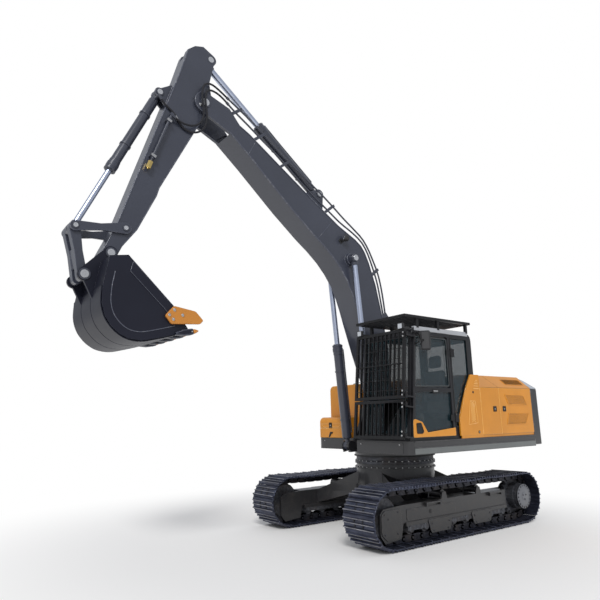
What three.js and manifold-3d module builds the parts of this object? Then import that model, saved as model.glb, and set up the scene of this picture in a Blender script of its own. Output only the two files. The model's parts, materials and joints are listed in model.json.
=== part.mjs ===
// Crawler excavator, 21 tonne class, as an assembly of separate pieces.
// Millimetres, +X forward, +Y to the machine's left, +Z up. Every size is worked out on the
// swing axis at ground level; the last section moves the whole group so that its origin is the
// centre of the bottom of its bounding box.

import * as THREE from 'three';
import { mergeVertices } from 'three/addons/utils/BufferGeometryUtils.js';
import Module from 'manifold-3d';

const wasm = await Module();
wasm.setup();

// ---------------------------------------------------------------- driving dimensions

const seat = 0.3;                    // gap between faces that touch on the real machine
const pinPlay = 0.5;                 // side play of a boss between its ears

const gauge = 2300;                  // between the centres of the two tracks
const shoeWidth = 600;
const trackHeight = 815;
const wheelbase = 3155;              // idler centre to sprocket centre
const shoeCount = 45;
const grouser = 26;                  // height of the bar on each shoe
const shoePlate = 14;
const linkAbove = 50;                // from the chain's pin line out to the shoe
const linkBelow = 50;                // from the chain's pin line in to the rail
const trackSag = 14;

const deckTop = 1390;
const deckBottom = 1200;
const bellyBottom = 1100;            // underside of the plate that sits on the swing bearing
const upperHalfWidth = 1400;
const deckFrontLeft = 1150;
const deckFrontRight = 540;
const deckRear = -2085;
const tailRadius = 2780;

const shoulderHeight = 2185;         // where the side doors end and the cowl begins to lean in
const cowlHeight = 2400;
const cowlFront = -600;
const doorSplit = -1115;
const doorBottom = 1430;
const panel = 25;                    // doors and covers

const cabInner = 360;                // y of the cab wall next to the boom
const cabOuter = 1360;
const cabFrontLow = 1080;
const cabFrontHigh = 925;
const cabRear = -520;
const cabTop = 3050;
const cabWall = 45;
const guardTop = 3235;

const boomY = -100;                  // the boom's centre plane
const boomWidth = 440;
const boomLength = 5708;
const boomAngle = 51.0;              // chord above the horizon
const boomFoot = { x: 172, z: 1978 };
const boomPlate = 22;

const armLength = 2894;
const armAngle = -63.6;              // world angle of the arm, seen from the left side
const armWidth = 335;

const bucketWidth = 1200;
const bucketAngle = -136.4;          // world angle of the line from the bucket pin to the teeth

// ---------------------------------------------------------------- materials

const paint = (color, roughness = 0.45, metalness = 0.2) =>
  new THREE.MeshStandardMaterial({ color, roughness, metalness });
const ochre = paint(0xcc8a33);
const slate = paint(0x3a3d48, 0.4, 0.3);
const frameGrey = paint(0x2c2b2c, 0.55, 0.2);
const trackSteel = paint(0x2b2d38, 0.5, 0.8);
const chrome = paint(0xc6c8d6, 0.15, 1.0);
const castIron = paint(0x3c3f45, 0.6, 0.7);
const rubber = paint(0x141414, 0.8, 0);
const fabric = paint(0x26262a, 0.9, 0);
const glass = new THREE.MeshStandardMaterial({
  color: 0x4a6a74, roughness: 0.05, metalness: 0, transparent: true, opacity: 0.35,
});

// ---------------------------------------------------------------- solids

// A boolean library solid from a three.js geometry.
function solid(geometry) {
  const g = geometry.index ? geometry.clone() : geometry;
  g.deleteAttribute('normal');
  g.deleteAttribute('uv');
  const merged = mergeVertices(g, 1e-3);
  return new wasm.Manifold(new wasm.Mesh({
    numProp: 3,
    vertProperties: new Float32Array(merged.attributes.position.array),
    triVerts: new Uint32Array(merged.index.array),
  }));
}

// A three.js geometry from a boolean library solid.
function geometryOf(manifold) {
  const m = manifold.getMesh();
  const g = new THREE.BufferGeometry();
  g.setAttribute('position', new THREE.BufferAttribute(new Float32Array(m.vertProperties), 3));
  g.setIndex(new THREE.BufferAttribute(new Uint32Array(m.triVerts), 1));
  g.computeVertexNormals();
  return g;
}

const join = (first, ...rest) => rest.reduce((sum, g) => sum.add(solid(g)), solid(first));
const cut = (manifold, ...tools) => tools.reduce((left, g) => left.subtract(solid(g)), manifold);

// A box between two x, two y and two z values.
function box(x0, x1, y0, y1, z0, z1) {
  const g = new THREE.BoxGeometry(x1 - x0, y1 - y0, z1 - z0);
  return g.translate((x0 + x1) / 2, (y0 + y1) / 2, (z0 + z1) / 2);
}

function shapeOf(points) {
  return new THREE.Shape(points.map(([a, b]) => new THREE.Vector2(a, b)));
}

// An outline in x and z carried along y.
function sideSlab(points, y0, y1, holes = []) {
  const shape = Array.isArray(points) ? shapeOf(points) : points;
  shape.holes.push(...holes.map(shapeOf));
  const g = new THREE.ExtrudeGeometry(shape, { depth: y1 - y0, bevelEnabled: false, curveSegments: 10 });
  return g.rotateX(Math.PI / 2).translate(0, y1, 0);
}

// An outline in x and y carried along z.
function planSlab(points, z0, z1) {
  const shape = Array.isArray(points) ? shapeOf(points) : points;
  const g = new THREE.ExtrudeGeometry(shape, { depth: z1 - z0, bevelEnabled: false, curveSegments: 10 });
  return g.translate(0, 0, z0);
}

// An outline in y and z carried along x.
function frontSlab(points, x0, x1) {
  const shape = Array.isArray(points) ? shapeOf(points) : points;
  const g = new THREE.ExtrudeGeometry(shape, { depth: x1 - x0, bevelEnabled: false });
  const turn = new THREE.Matrix4().makeBasis(
    new THREE.Vector3(0, 1, 0), new THREE.Vector3(0, 0, 1), new THREE.Vector3(1, 0, 0));
  return g.applyMatrix4(turn).translate(x0, 0, 0);
}

// A round bar along y.
function barY(x, z, radius, y0, y1, sides = 20) {
  const g = new THREE.CylinderGeometry(radius, radius, y1 - y0, sides);
  return g.translate(x, (y0 + y1) / 2, z);
}

// A round bar along x, starting at x0.
function barX(x0, x1, radius, sides = 20) {
  const g = new THREE.CylinderGeometry(radius, radius, x1 - x0, sides);
  return g.rotateZ(Math.PI / 2).translate((x0 + x1) / 2, 0, 0);
}

// A round bar between two points.
function bar(from, to, radius, sides = 12) {
  const start = new THREE.Vector3(...from);
  const along = new THREE.Vector3(...to).sub(start);
  const g = new THREE.CylinderGeometry(radius, radius, along.length(), sides).translate(0,
    along.length() / 2, 0);
  const turn = new THREE.Quaternion().setFromUnitVectors(new THREE.Vector3(0, 1, 0), along.normalize());
  return g.applyQuaternion(turn).translate(...from);
}

// A round tube along a smooth line through points.
function tube(points, radius, steps, sides = 10) {
  const path = new THREE.CatmullRomCurve3(points.map((p) => new THREE.Vector3(...p)));
  const section = shapeOf(arc(0, 0, radius, 0, 360 - 360 / sides, sides - 1));
  return new THREE.ExtrudeGeometry(section, { steps, extrudePath: path, bevelEnabled: false });
}

// A block between two four-cornered faces whose corners follow each other the same way round.
function block(near, far) {
  const g = new THREE.BufferGeometry();
  g.setAttribute('position', new THREE.Float32BufferAttribute([...near, ...far].flat(), 3));
  g.setIndex([0, 2, 1, 0, 3, 2, 4, 5, 6, 4, 6, 7, 0, 1, 5, 0, 5, 4, 1, 2, 6, 1, 6, 5,
    2, 3, 7, 2, 7, 6, 3, 0, 4, 3, 4, 7]);
  return g;
}

// The points of an arc, from one angle to another in degrees.
function arc(cx, cy, radius, from, to, steps) {
  const points = [];
  for (let i = 0; i <= steps; i += 1) {
    const a = THREE.MathUtils.degToRad(from + (to - from) * i / steps);
    points.push([cx + radius * Math.cos(a), cy + radius * Math.sin(a)]);
  }
  return points;
}

const whole = new THREE.Group();
const undercarriage = new THREE.Group();
const upper = new THREE.Group();
upper.name = 'pivot_swing';
whole.add(undercarriage, upper);

function place(group, name, piece, material) {
  const mesh = new THREE.Mesh(piece.isBufferGeometry ? piece : geometryOf(piece), material);
  mesh.name = name;
  group.add(mesh);
  return mesh;
}

// A group at a pivot in its parent, named after the joint, turned about y by an angle in degrees
// that counts up from +X towards +Z.
function pivot(parent, name, x, y, z, degrees = 0) {
  const group = new THREE.Group();
  group.name = `pivot_${name}`;
  group.position.set(x, y, z);
  group.rotation.y = -THREE.MathUtils.degToRad(degrees);
  parent.add(group);
  return group;
}

// ---------------------------------------------------------------- tracks

const wheelHeight = trackHeight / 2;
const chainRadius = wheelHeight - grouser - shoePlate - linkAbove;
const halfBase = wheelbase / 2;
const carrierX = [330, -500];
const railInner = 62;
const railOuter = 98;
const treadRadius = (chainRadius - linkBelow) * Math.cos(Math.PI / 10.6) - seat;

// The chain's pin line as a dense closed run of points: along the ground, up round the idler,
// back over the carrier rollers with a little sag, and down round the sprocket.
function chainLine() {
  const points = [];
  const top = wheelHeight + chainRadius;
  points.push(...arc(halfBase, wheelHeight, chainRadius, -90, 90, 60));
  const stops = [halfBase, ...carrierX, -halfBase];
  for (let i = 0; i < stops.length - 1; i += 1) {
    for (let k = 1; k < 12; k += 1) {
      const t = k / 12;
      const x = stops[i] + (stops[i + 1] - stops[i]) * t;
      points.push([x, top - trackSag * 4 * t * (1 - t)]);
    }
  }
  points.push(...arc(-halfBase, wheelHeight, chainRadius, 90, 270, 60));
  return points;
}

// The chain's pins: the pin line divided into equal links.
function chainPins() {
  const line = chainLine();
  const lengths = line.map((p, i) => {
    const q = line[(i + 1) % line.length];
    return Math.hypot(q[0] - p[0], q[1] - p[1]);
  });
  const total = lengths.reduce((a, b) => a + b, 0);
  const pins = [];
  let edge = 0;
  let walked = 0;
  for (let k = 0; k < shoeCount; k += 1) {
    const goal = total * k / shoeCount;
    while (walked + lengths[edge] < goal) {
      walked += lengths[edge];
      edge += 1;
    }
    const t = (goal - walked) / lengths[edge];
    const p = line[edge];
    const q = line[(edge + 1) % line.length];
    pins.push([p[0] + (q[0] - p[0]) * t, p[1] + (q[1] - p[1]) * t]);
  }
  return pins;
}

// The pins pushed outwards by a distance, square to the chain at each pin.
function offsetPins(pins, distance) {
  return pins.map((p, i) => {
    const a = pins[(i + pins.length - 1) % pins.length];
    const b = pins[(i + 1) % pins.length];
    const length = Math.hypot(b[0] - a[0], b[1] - a[1]);
    return [p[0] + distance * (b[1] - a[1]) / length, p[1] - distance * (b[0] - a[0]) / length];
  });
}

// The outside of the loop: on each link a flat shoe with one bar across it.
function shoeOutline(pins) {
  const outline = [];
  const face = linkAbove + shoePlate;
  const profile = [[0.05, face], [0.12, face + grouser], [0.2, face + grouser], [0.27, face], [0.95, face]];
  pins.forEach((p, i) => {
    const q = pins[(i + 1) % pins.length];
    for (const [t, out] of profile) {
      const length = Math.hypot(q[0] - p[0], q[1] - p[1]);
      const nx = (q[1] - p[1]) / length;
      const nz = -(q[0] - p[0]) / length;
      outline.push([p[0] + (q[0] - p[0]) * t + nx * out, p[1] + (q[1] - p[1]) * t + nz * out]);
    }
  });
  return outline;
}

function trackLoop() {
  const pins = chainPins();
  const plates = sideSlab(shoeOutline(pins), -shoeWidth / 2, shoeWidth / 2, [offsetPins(pins, linkAbove)]);
  const rail = (y0, y1) => sideSlab(offsetPins(pins, linkAbove + shoePlate / 2), y0, y1,
    [offsetPins(pins, -linkBelow)]);
  return join(plates, rail(railInner, railOuter), rail(-railOuter, -railInner));
}

// ---------------------------------------------------------------- track frames and wheels

const frameHalf = 130;
const frameLow = 300;
const frameHigh = 540;
const forkInner = 100;
const frameRear = -halfBase + chainRadius + 50;
const forkRoot = 1250;
const frameNose = 1670;
const railTop = wheelHeight - chainRadius + linkBelow;
const rollerRadius = 75;
const rollerHeight = railTop + rollerRadius + seat;
const flangeLow = 260;
const hubRadius = 205;

function trackFrame(side) {
  const body = join(
    box(frameRear, forkRoot, -frameHalf, frameHalf, frameLow, frameHigh),
    box(frameRear + 20, forkRoot - 60, -frameHalf - 18, -frameHalf + 20, flangeLow, frameLow + 10),
    box(frameRear + 20, forkRoot - 60, frameHalf - 20, frameHalf + 18, flangeLow, frameLow + 10),
  );
  const cheek = [[forkRoot - 20, frameHigh], [frameNose - 60, frameHigh - 20], [frameNose, frameHigh - 80],
    [frameNose, 180], [frameNose - 80, 80], [forkRoot + 30, 110], [forkRoot - 20, flangeLow + 40]];
  let frame = body
    .add(solid(sideSlab(cheek, forkInner, frameHalf)))
    .add(solid(sideSlab(cheek, -frameHalf, -forkInner)));
  const motorSide = side > 0 ? [-frameHalf, -forkInner + 5] : [forkInner - 5, frameHalf];
  frame = frame.add(solid(box(-halfBase, frameRear + 10, ...motorSide, frameLow, frameHigh)));
  frame = frame.add(solid(barY(-halfBase, wheelHeight, hubRadius + 10, ...motorSide, 28)));
  for (const x of carrierX) {
    const rollerZ = wheelHeight + chainRadius - linkBelow - 66;
    const yoke = [[x - 70, frameHigh - 10], [x + 70, frameHigh - 10], [x + 38, rollerZ + 30], [x - 38,
      rollerZ + 30]];
    frame = frame
      .add(solid(sideSlab(yoke, railOuter + 12, frameHalf)))
      .add(solid(sideSlab(yoke, -frameHalf, -railOuter - 12)))
      .add(solid(barY(x, rollerZ, 25, -railOuter - 14, railOuter + 14, 12)))
      .add(solid(barY(x, rollerZ, 60, -railOuter, railOuter, 16)));
  }
  return cut(frame, box(forkRoot, frameNose + 10, -forkInner, forkInner, 0, frameHigh + 10));
}

function rollerSet() {
  const rollers = 8;
  const first = forkRoot - 160;
  const last = frameRear + 130;
  let set = join(
    box(frameRear + 60, forkRoot - 90, -frameHalf - 10, -railOuter - 6, rollerHeight - 20,
    flangeLow - seat),
    box(frameRear + 60, forkRoot - 90, railOuter + 6, frameHalf + 10, rollerHeight - 20, flangeLow - seat),
  );
  for (let i = 0; i < rollers; i += 1) {
    const x = first + (last - first) * i / (rollers - 1);
    set = set.add(solid(barY(x, rollerHeight, rollerRadius, -railOuter - 10, railOuter + 10, 12)));
  }
  return set;
}

function idlerWheel() {
  const halfTread = forkInner - 8;
  const profile = [[0, -forkInner + seat], [42, -forkInner + seat], [42, -halfTread + 30], [150,
    -halfTread + 30],
    [treadRadius, -halfTread], [treadRadius, -railInner + 8], [treadRadius + 22, -railInner + 8],
    [treadRadius + 22, railInner - 8], [treadRadius, railInner - 8],
    [treadRadius, halfTread], [150, halfTread - 30], [42, halfTread - 30],
    [42, forkInner - seat], [0, forkInner - seat]];
  const g = new THREE.LatheGeometry(profile.map(([r, y]) => new THREE.Vector2(r, y)), 20);
  return g.translate(halfBase, 0, wheelHeight);
}

function sprocketWheel(side) {
  const teeth = 21;
  const outline = [];
  for (let i = 0; i < teeth; i += 1) {
    for (const [t, r] of [[-0.3, chainRadius - 48], [-0.12, chainRadius + 8], [0.12, chainRadius + 8],
      [0.3, chainRadius - 48]]) {
      const a = 2 * Math.PI * (i + t) / teeth;
      outline.push([-halfBase + r * Math.cos(a), wheelHeight + r * Math.sin(a)]);
    }
  }
  const out = (a, b) => (side > 0 ? [a, b] : [-b, -a]);
  return join(
    sideSlab(outline, -30, 30),
    barY(-halfBase, wheelHeight, hubRadius, ...out(-forkInner + 5 + seat, 150), 20),
    barY(-halfBase, wheelHeight, hubRadius - 12, ...out(149, 205), 20),
    barY(-halfBase, wheelHeight, 120, ...out(204, 225), 16),
  );
}

const bearingRadius = 650;
const bearingLow = 985;

function carBody() {
  const reach = gauge / 2 - frameHalf - seat;
  let body = join(
    new THREE.CylinderGeometry(bearingRadius, bearingRadius + 20, bearingLow - 620, 32).rotateX(Math.PI / 2)
      .translate(0, 0, (bearingLow + 620) / 2),
    box(-620, 620, -430, 430, 520, 660),
  );
  for (const sx of [1, -1]) {
    for (const sy of [1, -1]) {
      const quad = (y, x0, x1, z0, z1) => {
        const corners = [[sx * x0, sy * y, z0], [sx * x1, sy * y, z0], [sx * x1, sy * y, z1], [sx * x0,
          sy * y, z1]];
        return sx * sy > 0 ? corners : corners.reverse();
      };
      body = body.add(solid(block(quad(reach, 560, 900, frameLow + 20, frameHigh - 10), quad(180, 120,
        560, 560, 900))));
    }
  }
  return cut(body, new THREE.CylinderGeometry(300, 300, 700, 24).rotateX(Math.PI / 2).translate(0, 0, 900));
}

place(undercarriage, 'car_body', carBody(), frameGrey);
const swingRing = new THREE.LatheGeometry([[500, bearingLow + seat], [bearingRadius + 25,
  bearingLow + seat],
  [bearingRadius + 25, bearingLow + 45], [bearingRadius, bearingLow + 50], [bearingRadius,
  bellyBottom - seat],
  [500, bellyBottom - seat], [500, bearingLow + seat]].map(([r, z]) => new THREE.Vector2(r, z)), 28);
place(undercarriage, 'swing_bearing', swingRing.rotateX(Math.PI / 2), castIron);

for (const [label, side] of [['left', 1], ['right', -1]]) {
  const half = new THREE.Group();
  half.position.y = side * gauge / 2;
  undercarriage.add(half);
  place(half, `track_${label}`, trackLoop(), trackSteel);
  place(half, `track_frame_${label}`, trackFrame(side), frameGrey);
  place(half, `bottom_rollers_${label}`, rollerSet(), castIron);
  place(half, `idler_${label}`, idlerWheel(), castIron);
  place(half, `sprocket_${label}`, sprocketWheel(side), castIron);
}

// ---------------------------------------------------------------- revolving frame and bodywork

const lugInner = boomWidth / 2 + pinPlay;      // from the boom's centre plane
const lugOuter = lugInner + 55;
const cylinderOffset = 330;                    // boom cylinders, from the boom's centre plane
const cylinderBase = { x: 676, z: 1274 };
const eyeHalf = 46;
const earRadius = 85;
const baseEarOuter = cylinderOffset + eyeHalf + pinPlay;

function revolvingFrame() {
  const corner = 110;
  const leftEdge = boomY + baseEarOuter + 40;    // the deck passes outside the left cylinder's foot
  const left = [[deckRear, 250], [cylinderBase.x - 180, 250], [cylinderBase.x - 180, leftEdge],
    [deckFrontLeft, leftEdge],
    ...arc(deckFrontLeft - corner, upperHalfWidth - corner, corner, 0, 90, 5), [deckRear, upperHalfWidth]];
  const right = [[deckRear, -upperHalfWidth], ...arc(deckFrontRight - corner, corner - upperHalfWidth,
    corner, -90, 0, 5),
    [deckFrontRight, -500], [deckRear, -500]];
  let frame = join(
    planSlab(left, deckBottom, deckTop),
    planSlab(right, deckBottom, deckTop),
    box(deckRear, cylinderBase.x - 120, -501, 251, deckBottom, deckTop),
  );
  // The decks are plates on side beams, open from below.
  const pocket = (x0, x1, y0, y1) => box(x0, x1, y0, y1, deckBottom - 1, deckTop - 35);
  frame = cut(frame, pocket(-1950, -750, 760, 1290), pocket(-650, 1000, 760, 1290),
    pocket(-1950, -750, -1290, -760), pocket(-650, 400, -1290, -760));
  frame = frame.add(solid(new THREE.CylinderGeometry(bearingRadius + 20, bearingRadius + 20,
    deckBottom - bellyBottom + 2, 32)
    .rotateX(Math.PI / 2).translate(0, 0, (deckBottom + bellyBottom) / 2 + 1)));
  // Two webs carry the boom foot and the inner ends of the boom cylinders' pins.
  const { x, z } = boomFoot;
  const base = cylinderBase;
  const web = [[deckRear + 200, deckBottom + 20], [base.x + 40, deckBottom - 30],
    ...arc(base.x, base.z, earRadius, -60, 150, 8), [base.x - 90, deckTop], [x + 260, z - 300],
    ...arc(x, z, 160, 0, 150, 8), [x - 330, z - 300], [cowlFront + 60, deckTop + 60], [cowlFront + 20,
    deckTop - 10],
    [deckRear + 200, deckTop - 10]];
  const outerEar = [[base.x - 160, deckTop - 60], [base.x - 160, deckBottom + 10], [base.x + 40,
    deckBottom - 30],
    ...arc(base.x, base.z, earRadius, -60, 140, 8)];
  for (const s of [1, -1]) {
    const span = (a, b) => (s > 0 ? [boomY + a, boomY + b] : [boomY - b, boomY - a]);
    frame = frame
      .add(solid(sideSlab(web, ...span(lugInner, lugOuter))))
      .add(solid(sideSlab(outerEar, ...span(baseEarOuter, baseEarOuter + 34))));
    // The front cross member ends behind the cylinder's foot.
    frame = frame.add(solid(box(base.x - 170, base.x - 110, ...span(lugInner + 5, baseEarOuter + 30),
      deckBottom + 10, deckTop - 60)));
  }
  return frame;
}

place(upper, 'revolving_frame', revolvingFrame(), frameGrey);

function counterweight() {
  const front = deckRear - seat;
  const arcAngle = THREE.MathUtils.radToDeg(Math.asin((upperHalfWidth - 120) / tailRadius));
  const outline = [[front, -upperHalfWidth], [front - 190, -upperHalfWidth],
    ...arc(0, 0, tailRadius, 180 + arcAngle, 180 - arcAngle, 14).map(([px, py]) => [px, py]),
    [front - 190, upperHalfWidth], [front, upperHalfWidth]];
  const slab = solid(planSlab(outline.reverse(), deckBottom + 20, shoulderHeight));
  const undercut = sideSlab([[-tailRadius + 200, deckBottom], [-tailRadius - 50, deckBottom],
    [-tailRadius - 50, deckBottom + 240]], -1500, 1500);
  return cut(slab, undercut);
}

place(upper, 'counterweight', counterweight(), slate);
place(upper, 'engine_block', box(-1960, -1180, -420, 520, deckTop + seat, 2130), castIron);

const tankOuter = -upperHalfWidth + 20;
const tankInner = -560;
const tankSplit = -300;
const tankRear = -950;
const tankFront = 240;
const tankTop = 2340;

function tankBlock(x0, x1) {
  const shoulder = 90;
  return frontSlab([[tankOuter, deckTop + seat], [tankInner, deckTop + seat], [tankInner, tankTop],
    [tankOuter + shoulder, tankTop], ...arc(tankOuter + shoulder, tankTop - shoulder, shoulder, 100, 180,
    5)], x0, x1);
}

place(upper, 'fuel_tank', tankBlock(tankSplit + seat, tankFront), ochre);
place(upper, 'hydraulic_tank', tankBlock(tankRear, tankSplit), ochre);

const cowlInset = 240;               // how far the top edges stand in from the sides
const hatch = { x0: -1950, x1: -950, half: 760 };

// The fixed cowl: a roof with sloping shoulders, a front bulkhead and the posts between the doors.
function cowl() {
  const edge = upperHalfWidth - cowlInset;
  const w = upperHalfWidth;
  const roof = frontSlab([[w, shoulderHeight], [edge, cowlHeight], [-edge, cowlHeight], [-w,
    shoulderHeight],
    [-w + panel + 5, shoulderHeight], [-edge, cowlHeight - panel], [edge, cowlHeight - panel],
    [w - panel - 5, shoulderHeight]].reverse(), deckRear, cowlFront);
  const lowest = deckTop + seat;
  const bulkhead = frontSlab([[tankInner + 20, lowest], [w - panel - seat, lowest], [w - panel - seat,
    shoulderHeight],
    [edge, cowlHeight - 5], [tankInner + 20, cowlHeight - 5]], cowlFront - 30, cowlFront);
  const rightWall = frontSlab([[-w + panel + seat, lowest], [tankInner + 20, lowest], [tankInner + 20,
    cowlHeight - 5],
    [-edge, cowlHeight - 5], [-w + panel + seat, shoulderHeight]], tankRear - 30 - seat, tankRear - seat);
  const between = box(tankRear - 30, cowlFront, tankInner + seat, tankInner + 25, lowest, cowlHeight - 5);
  let shell = join(roof, bulkhead, rightWall, between);
  for (const side of [1, -1]) {
    const y = side > 0 ? [w - panel - 60, w - panel - seat] : [-w + panel + seat, -w + panel + 60];
    shell = shell
      .add(solid(box(deckRear, deckRear + 50, ...y, lowest, shoulderHeight + 20)))
      .add(solid(box(doorSplit - 25, doorSplit + 25, ...y, lowest, shoulderHeight + 20)));
  }
  // The roof stops short over the tanks, and its hatch is open.
  return cut(shell,
    box(tankRear - seat, cowlFront + 10, -w - 10, tankInner + seat, deckTop, cowlHeight + 10),
    box(hatch.x0, hatch.x1, -hatch.half, hatch.half, cowlHeight - 100, cowlHeight + 10));
}

place(upper, 'cowl', cowl(), ochre);

// The cover behind the cab door: its front edge bends back as it rises, round the rear glass.
function cabSidePanel() {
  const y = [cabOuter + 12, upperHalfWidth];
  const edge = [[-33, doorBottom], [-33, 1690], [-131, 1912], [-245, 2149], [-389, 2380]];
  const cover = [[cowlFront + 3, doorBottom], ...edge, [cowlFront + 3, 2380]];
  const sill = box(cowlFront + 3, -60, cabOuter + 12, upperHalfWidth - 4, deckTop + seat, doorBottom + 5);
  const backing = box(cowlFront + seat, cabRear - 10, 700, upperHalfWidth - 4, deckTop + seat, 2370);
  return join(sideSlab(cover, ...y), sill, backing);
}

place(upper, 'cab_side_panel', cabSidePanel(), ochre);

// A door in the side of the body, hinged about the vertical edge at hingeX.
function sideDoor(name, hingeX, freeX, side) {
  const outer = side * upperHalfWidth;
  const group = pivot(upper, name, hingeX, outer, 0);
  const [x0, x1] = hingeX > freeX ? [freeX - hingeX, -4] : [4, freeX - hingeX];
  const y = side > 0 ? [-panel, 0] : [0, panel];
  const body = box(x0, x1, ...y, doorBottom, shoulderHeight - 4);
  place(group, name, body, ochre);
}

sideDoor('service_door_front', cowlFront, doorSplit + 4, 1);
sideDoor('service_door_rear', deckRear, doorSplit - 4, 1);
sideDoor('pump_door', deckRear, tankRear - 8, -1);

const hood = pivot(upper, 'engine_hood', hatch.x1 + 20, 0, cowlHeight + 40);
const hoodLength = hatch.x1 - hatch.x0 + 40;
place(hood, 'engine_hood', join(
  box(-hoodLength, 0, -hatch.half - 20, hatch.half + 20, -40 + seat, 0),
  box(-hoodLength + 30, -30, -hatch.half + 8, hatch.half - 8, -60, -30),
), ochre);

const toolSpace = {
  x0: tankFront + 12, x1: deckFrontRight - 8, y0: -upperHalfWidth + 45, y1: -640, split: 1560, top: 1755,
};

function toolBox() {
  const wall = 20;
  const body = join(box(toolSpace.x0, toolSpace.x1, toolSpace.y0, toolSpace.y1, deckTop + seat,
    toolSpace.split));
  return cut(body, box(toolSpace.x0 + wall, toolSpace.x1 - wall, toolSpace.y0 + wall, toolSpace.y1 - wall,
    deckTop + wall, toolSpace.split + 5));
}

place(upper, 'tool_box', toolBox(), ochre);

const lidPivot = pivot(upper, 'tool_box_lid', toolSpace.x0, 0, toolSpace.top);
const lidDepth = toolSpace.x1 - toolSpace.x0;
const lidHeight = toolSpace.top - toolSpace.split;
const lidOutline = [[0, -lidHeight + seat], [lidDepth, -lidHeight + seat], [lidDepth, -90],
  ...arc(lidDepth - 90, -90, 90, 10, 90, 5), [0, 0]];
const lidInside = [[18, -lidHeight - 5], [lidDepth - 18, -lidHeight - 5], [lidDepth - 18, -90],
  ...arc(lidDepth - 90, -90, 72, 10, 90, 5), [18, -18]];
place(lidPivot, 'tool_box_lid', cut(solid(sideSlab(lidOutline, toolSpace.y0, toolSpace.y1)),
  sideSlab(lidInside, toolSpace.y0 + 18, toolSpace.y1 - 18)), ochre);

// ---------------------------------------------------------------- cab

const cabBottom = deckTop + seat;
const lean = (cabFrontLow - cabFrontHigh) / (cabTop - 120 - cabBottom);
const frontAt = (z) => cabFrontLow - (z - cabBottom) * lean;     // x of the cab's front at a height

function cabProfile(inset) {
  const r = 110;
  const high = cabTop - r;
  return [[cabRear + inset, cabBottom + inset], [cabFrontLow - inset, cabBottom + inset],
    ...arc(frontAt(high) - r, high, r - inset, 0, 90, 5),
    ...arc(cabRear + r, high, r - inset, 90, 180, 5)];
}

const doorRear = 90;
const doorTop = 2990;
const mullion = 48;

function doorOutline(inset) {
  const r = 90;
  const low = doorBottom + inset;
  return [[doorRear + inset, low], [frontAt(low) - 15 - inset, low],
    ...arc(frontAt(doorTop - r) - 15 - r, doorTop - r, r - inset, 0, 90, 5), [doorRear + inset,
    doorTop - inset]];
}

const quarter = [[-330, 1990], [-120, 1560], [doorRear - 60, 1560], [doorRear - 60, 2960], [-400, 2960],
  [-400, 2420]];

function cabShell() {
  const shell = cut(solid(sideSlab(cabProfile(0), cabInner, cabOuter)),
    sideSlab(cabProfile(cabWall), cabInner + cabWall, cabOuter - cabWall));
  const sill = cabBottom + 90;
  return cut(shell,
    sideSlab(doorOutline(18), cabOuter - cabWall - 5, cabOuter + 5),
    sideSlab(quarter, cabOuter - cabWall - 5, cabOuter + 5),
    box(cabFrontHigh - 60, cabFrontLow + 10, cabInner + 60, cabOuter - 60, sill, cabTop - 130),
    box(cabRear + 130, cabFrontHigh - 60, cabInner - 5, cabInner + cabWall + 5, 1850, 2950),
    box(cabRear - 5, cabRear + cabWall + 5, cabInner + 80, cabOuter - 80, 2050, 2920),
    box(80, 680, cabInner + 200, cabOuter - 200, cabTop - cabWall - 5, cabTop + 5));
}


// Glass panes fill their openings and keep the seat's gap all round.
const paneThick = 8;
const sillGlass = cabBottom + 90;
const glassTop = cabTop - 130;
const frontPane = [[frontAt(sillGlass) - 20, sillGlass + seat], [frontAt(sillGlass) - 20 + paneThick,
  sillGlass + seat],
  [frontAt(glassTop) - 20 + paneThick, glassTop - seat], [frontAt(glassTop) - 20, glassTop - seat]];
place(upper, 'front_window', sideSlab(frontPane, cabInner + 60 + seat, cabOuter - 60 - seat), glass);
place(upper, 'right_window', box(cabRear + 130 + seat, cabFrontHigh - 60 - seat, cabInner + 12,
  cabInner + 12 + paneThick, 1850 + seat, 2950 - seat), glass);
place(upper, 'rear_window', box(cabRear + 12, cabRear + 12 + paneThick, cabInner + 80 + seat,
  cabOuter - 80 - seat,
  2050 + seat, 2920 - seat), glass);
const shrink = (points, d) => {
  const n = points.length;
  return points.map((p, i) => {
    const a = points[(i + n - 1) % n];
    const b = points[(i + 1) % n];
    const u = new THREE.Vector2(p[0] - a[0], p[1] - a[1]).normalize();
    const v = new THREE.Vector2(b[0] - p[0], b[1] - p[1]).normalize();
    const turn = u.x * v.y - u.y * v.x;
    const k = d / (1 + u.dot(v));
    const inward = [-(u.y + v.y), u.x + v.x];
    return turn === 0 ? [p[0] - u.y * d, p[1] + u.x * d] : [p[0] + inward[0] * k, p[1] + inward[1] * k];
  });
};
place(upper, 'quarter_window', sideSlab(shrink(quarter, seat), cabOuter - 20, cabOuter - 20 + paneThick),
  glass);

const doorStand = 42;                // from the cab's side out to the door's hinge line
const doorPivot = pivot(upper, 'cab_door', doorRear - 12, cabOuter + doorStand, 0);
const railLow = 2090;
const railHigh = 2150;
function doorLocal(points) {
  return points.map(([x, z]) => [x - doorRear + 12, z]);
}
const doorY = [seat - doorStand, -2];
function cabDoor() {
  const frame = cut(solid(sideSlab(doorLocal(doorOutline(0)), ...doorY)),
    sideSlab(doorLocal(doorOutline(mullion)), doorY[0] - 5, doorY[1] + 5));
  const rail = sideSlab([[20, railLow], [frontAt(railLow) - doorRear - 10, railLow],
    [frontAt(railHigh) - doorRear - 10, railHigh], [20, railHigh]], doorY[0] + 16, doorY[1]);
  const low = [[20, doorBottom + 10], [frontAt(doorBottom) - doorRear - 10, doorBottom + 10],
    [frontAt(1705) - doorRear - 10, 1705], [840 - doorRear, 1650], [734 - doorRear, 1500], [20, 1545]];
  return frame.add(solid(rail)).add(solid(sideSlab(low, doorY[0] + 16, doorY[1])));
}
place(doorPivot, 'cab_door', cabDoor(), frameGrey);
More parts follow.
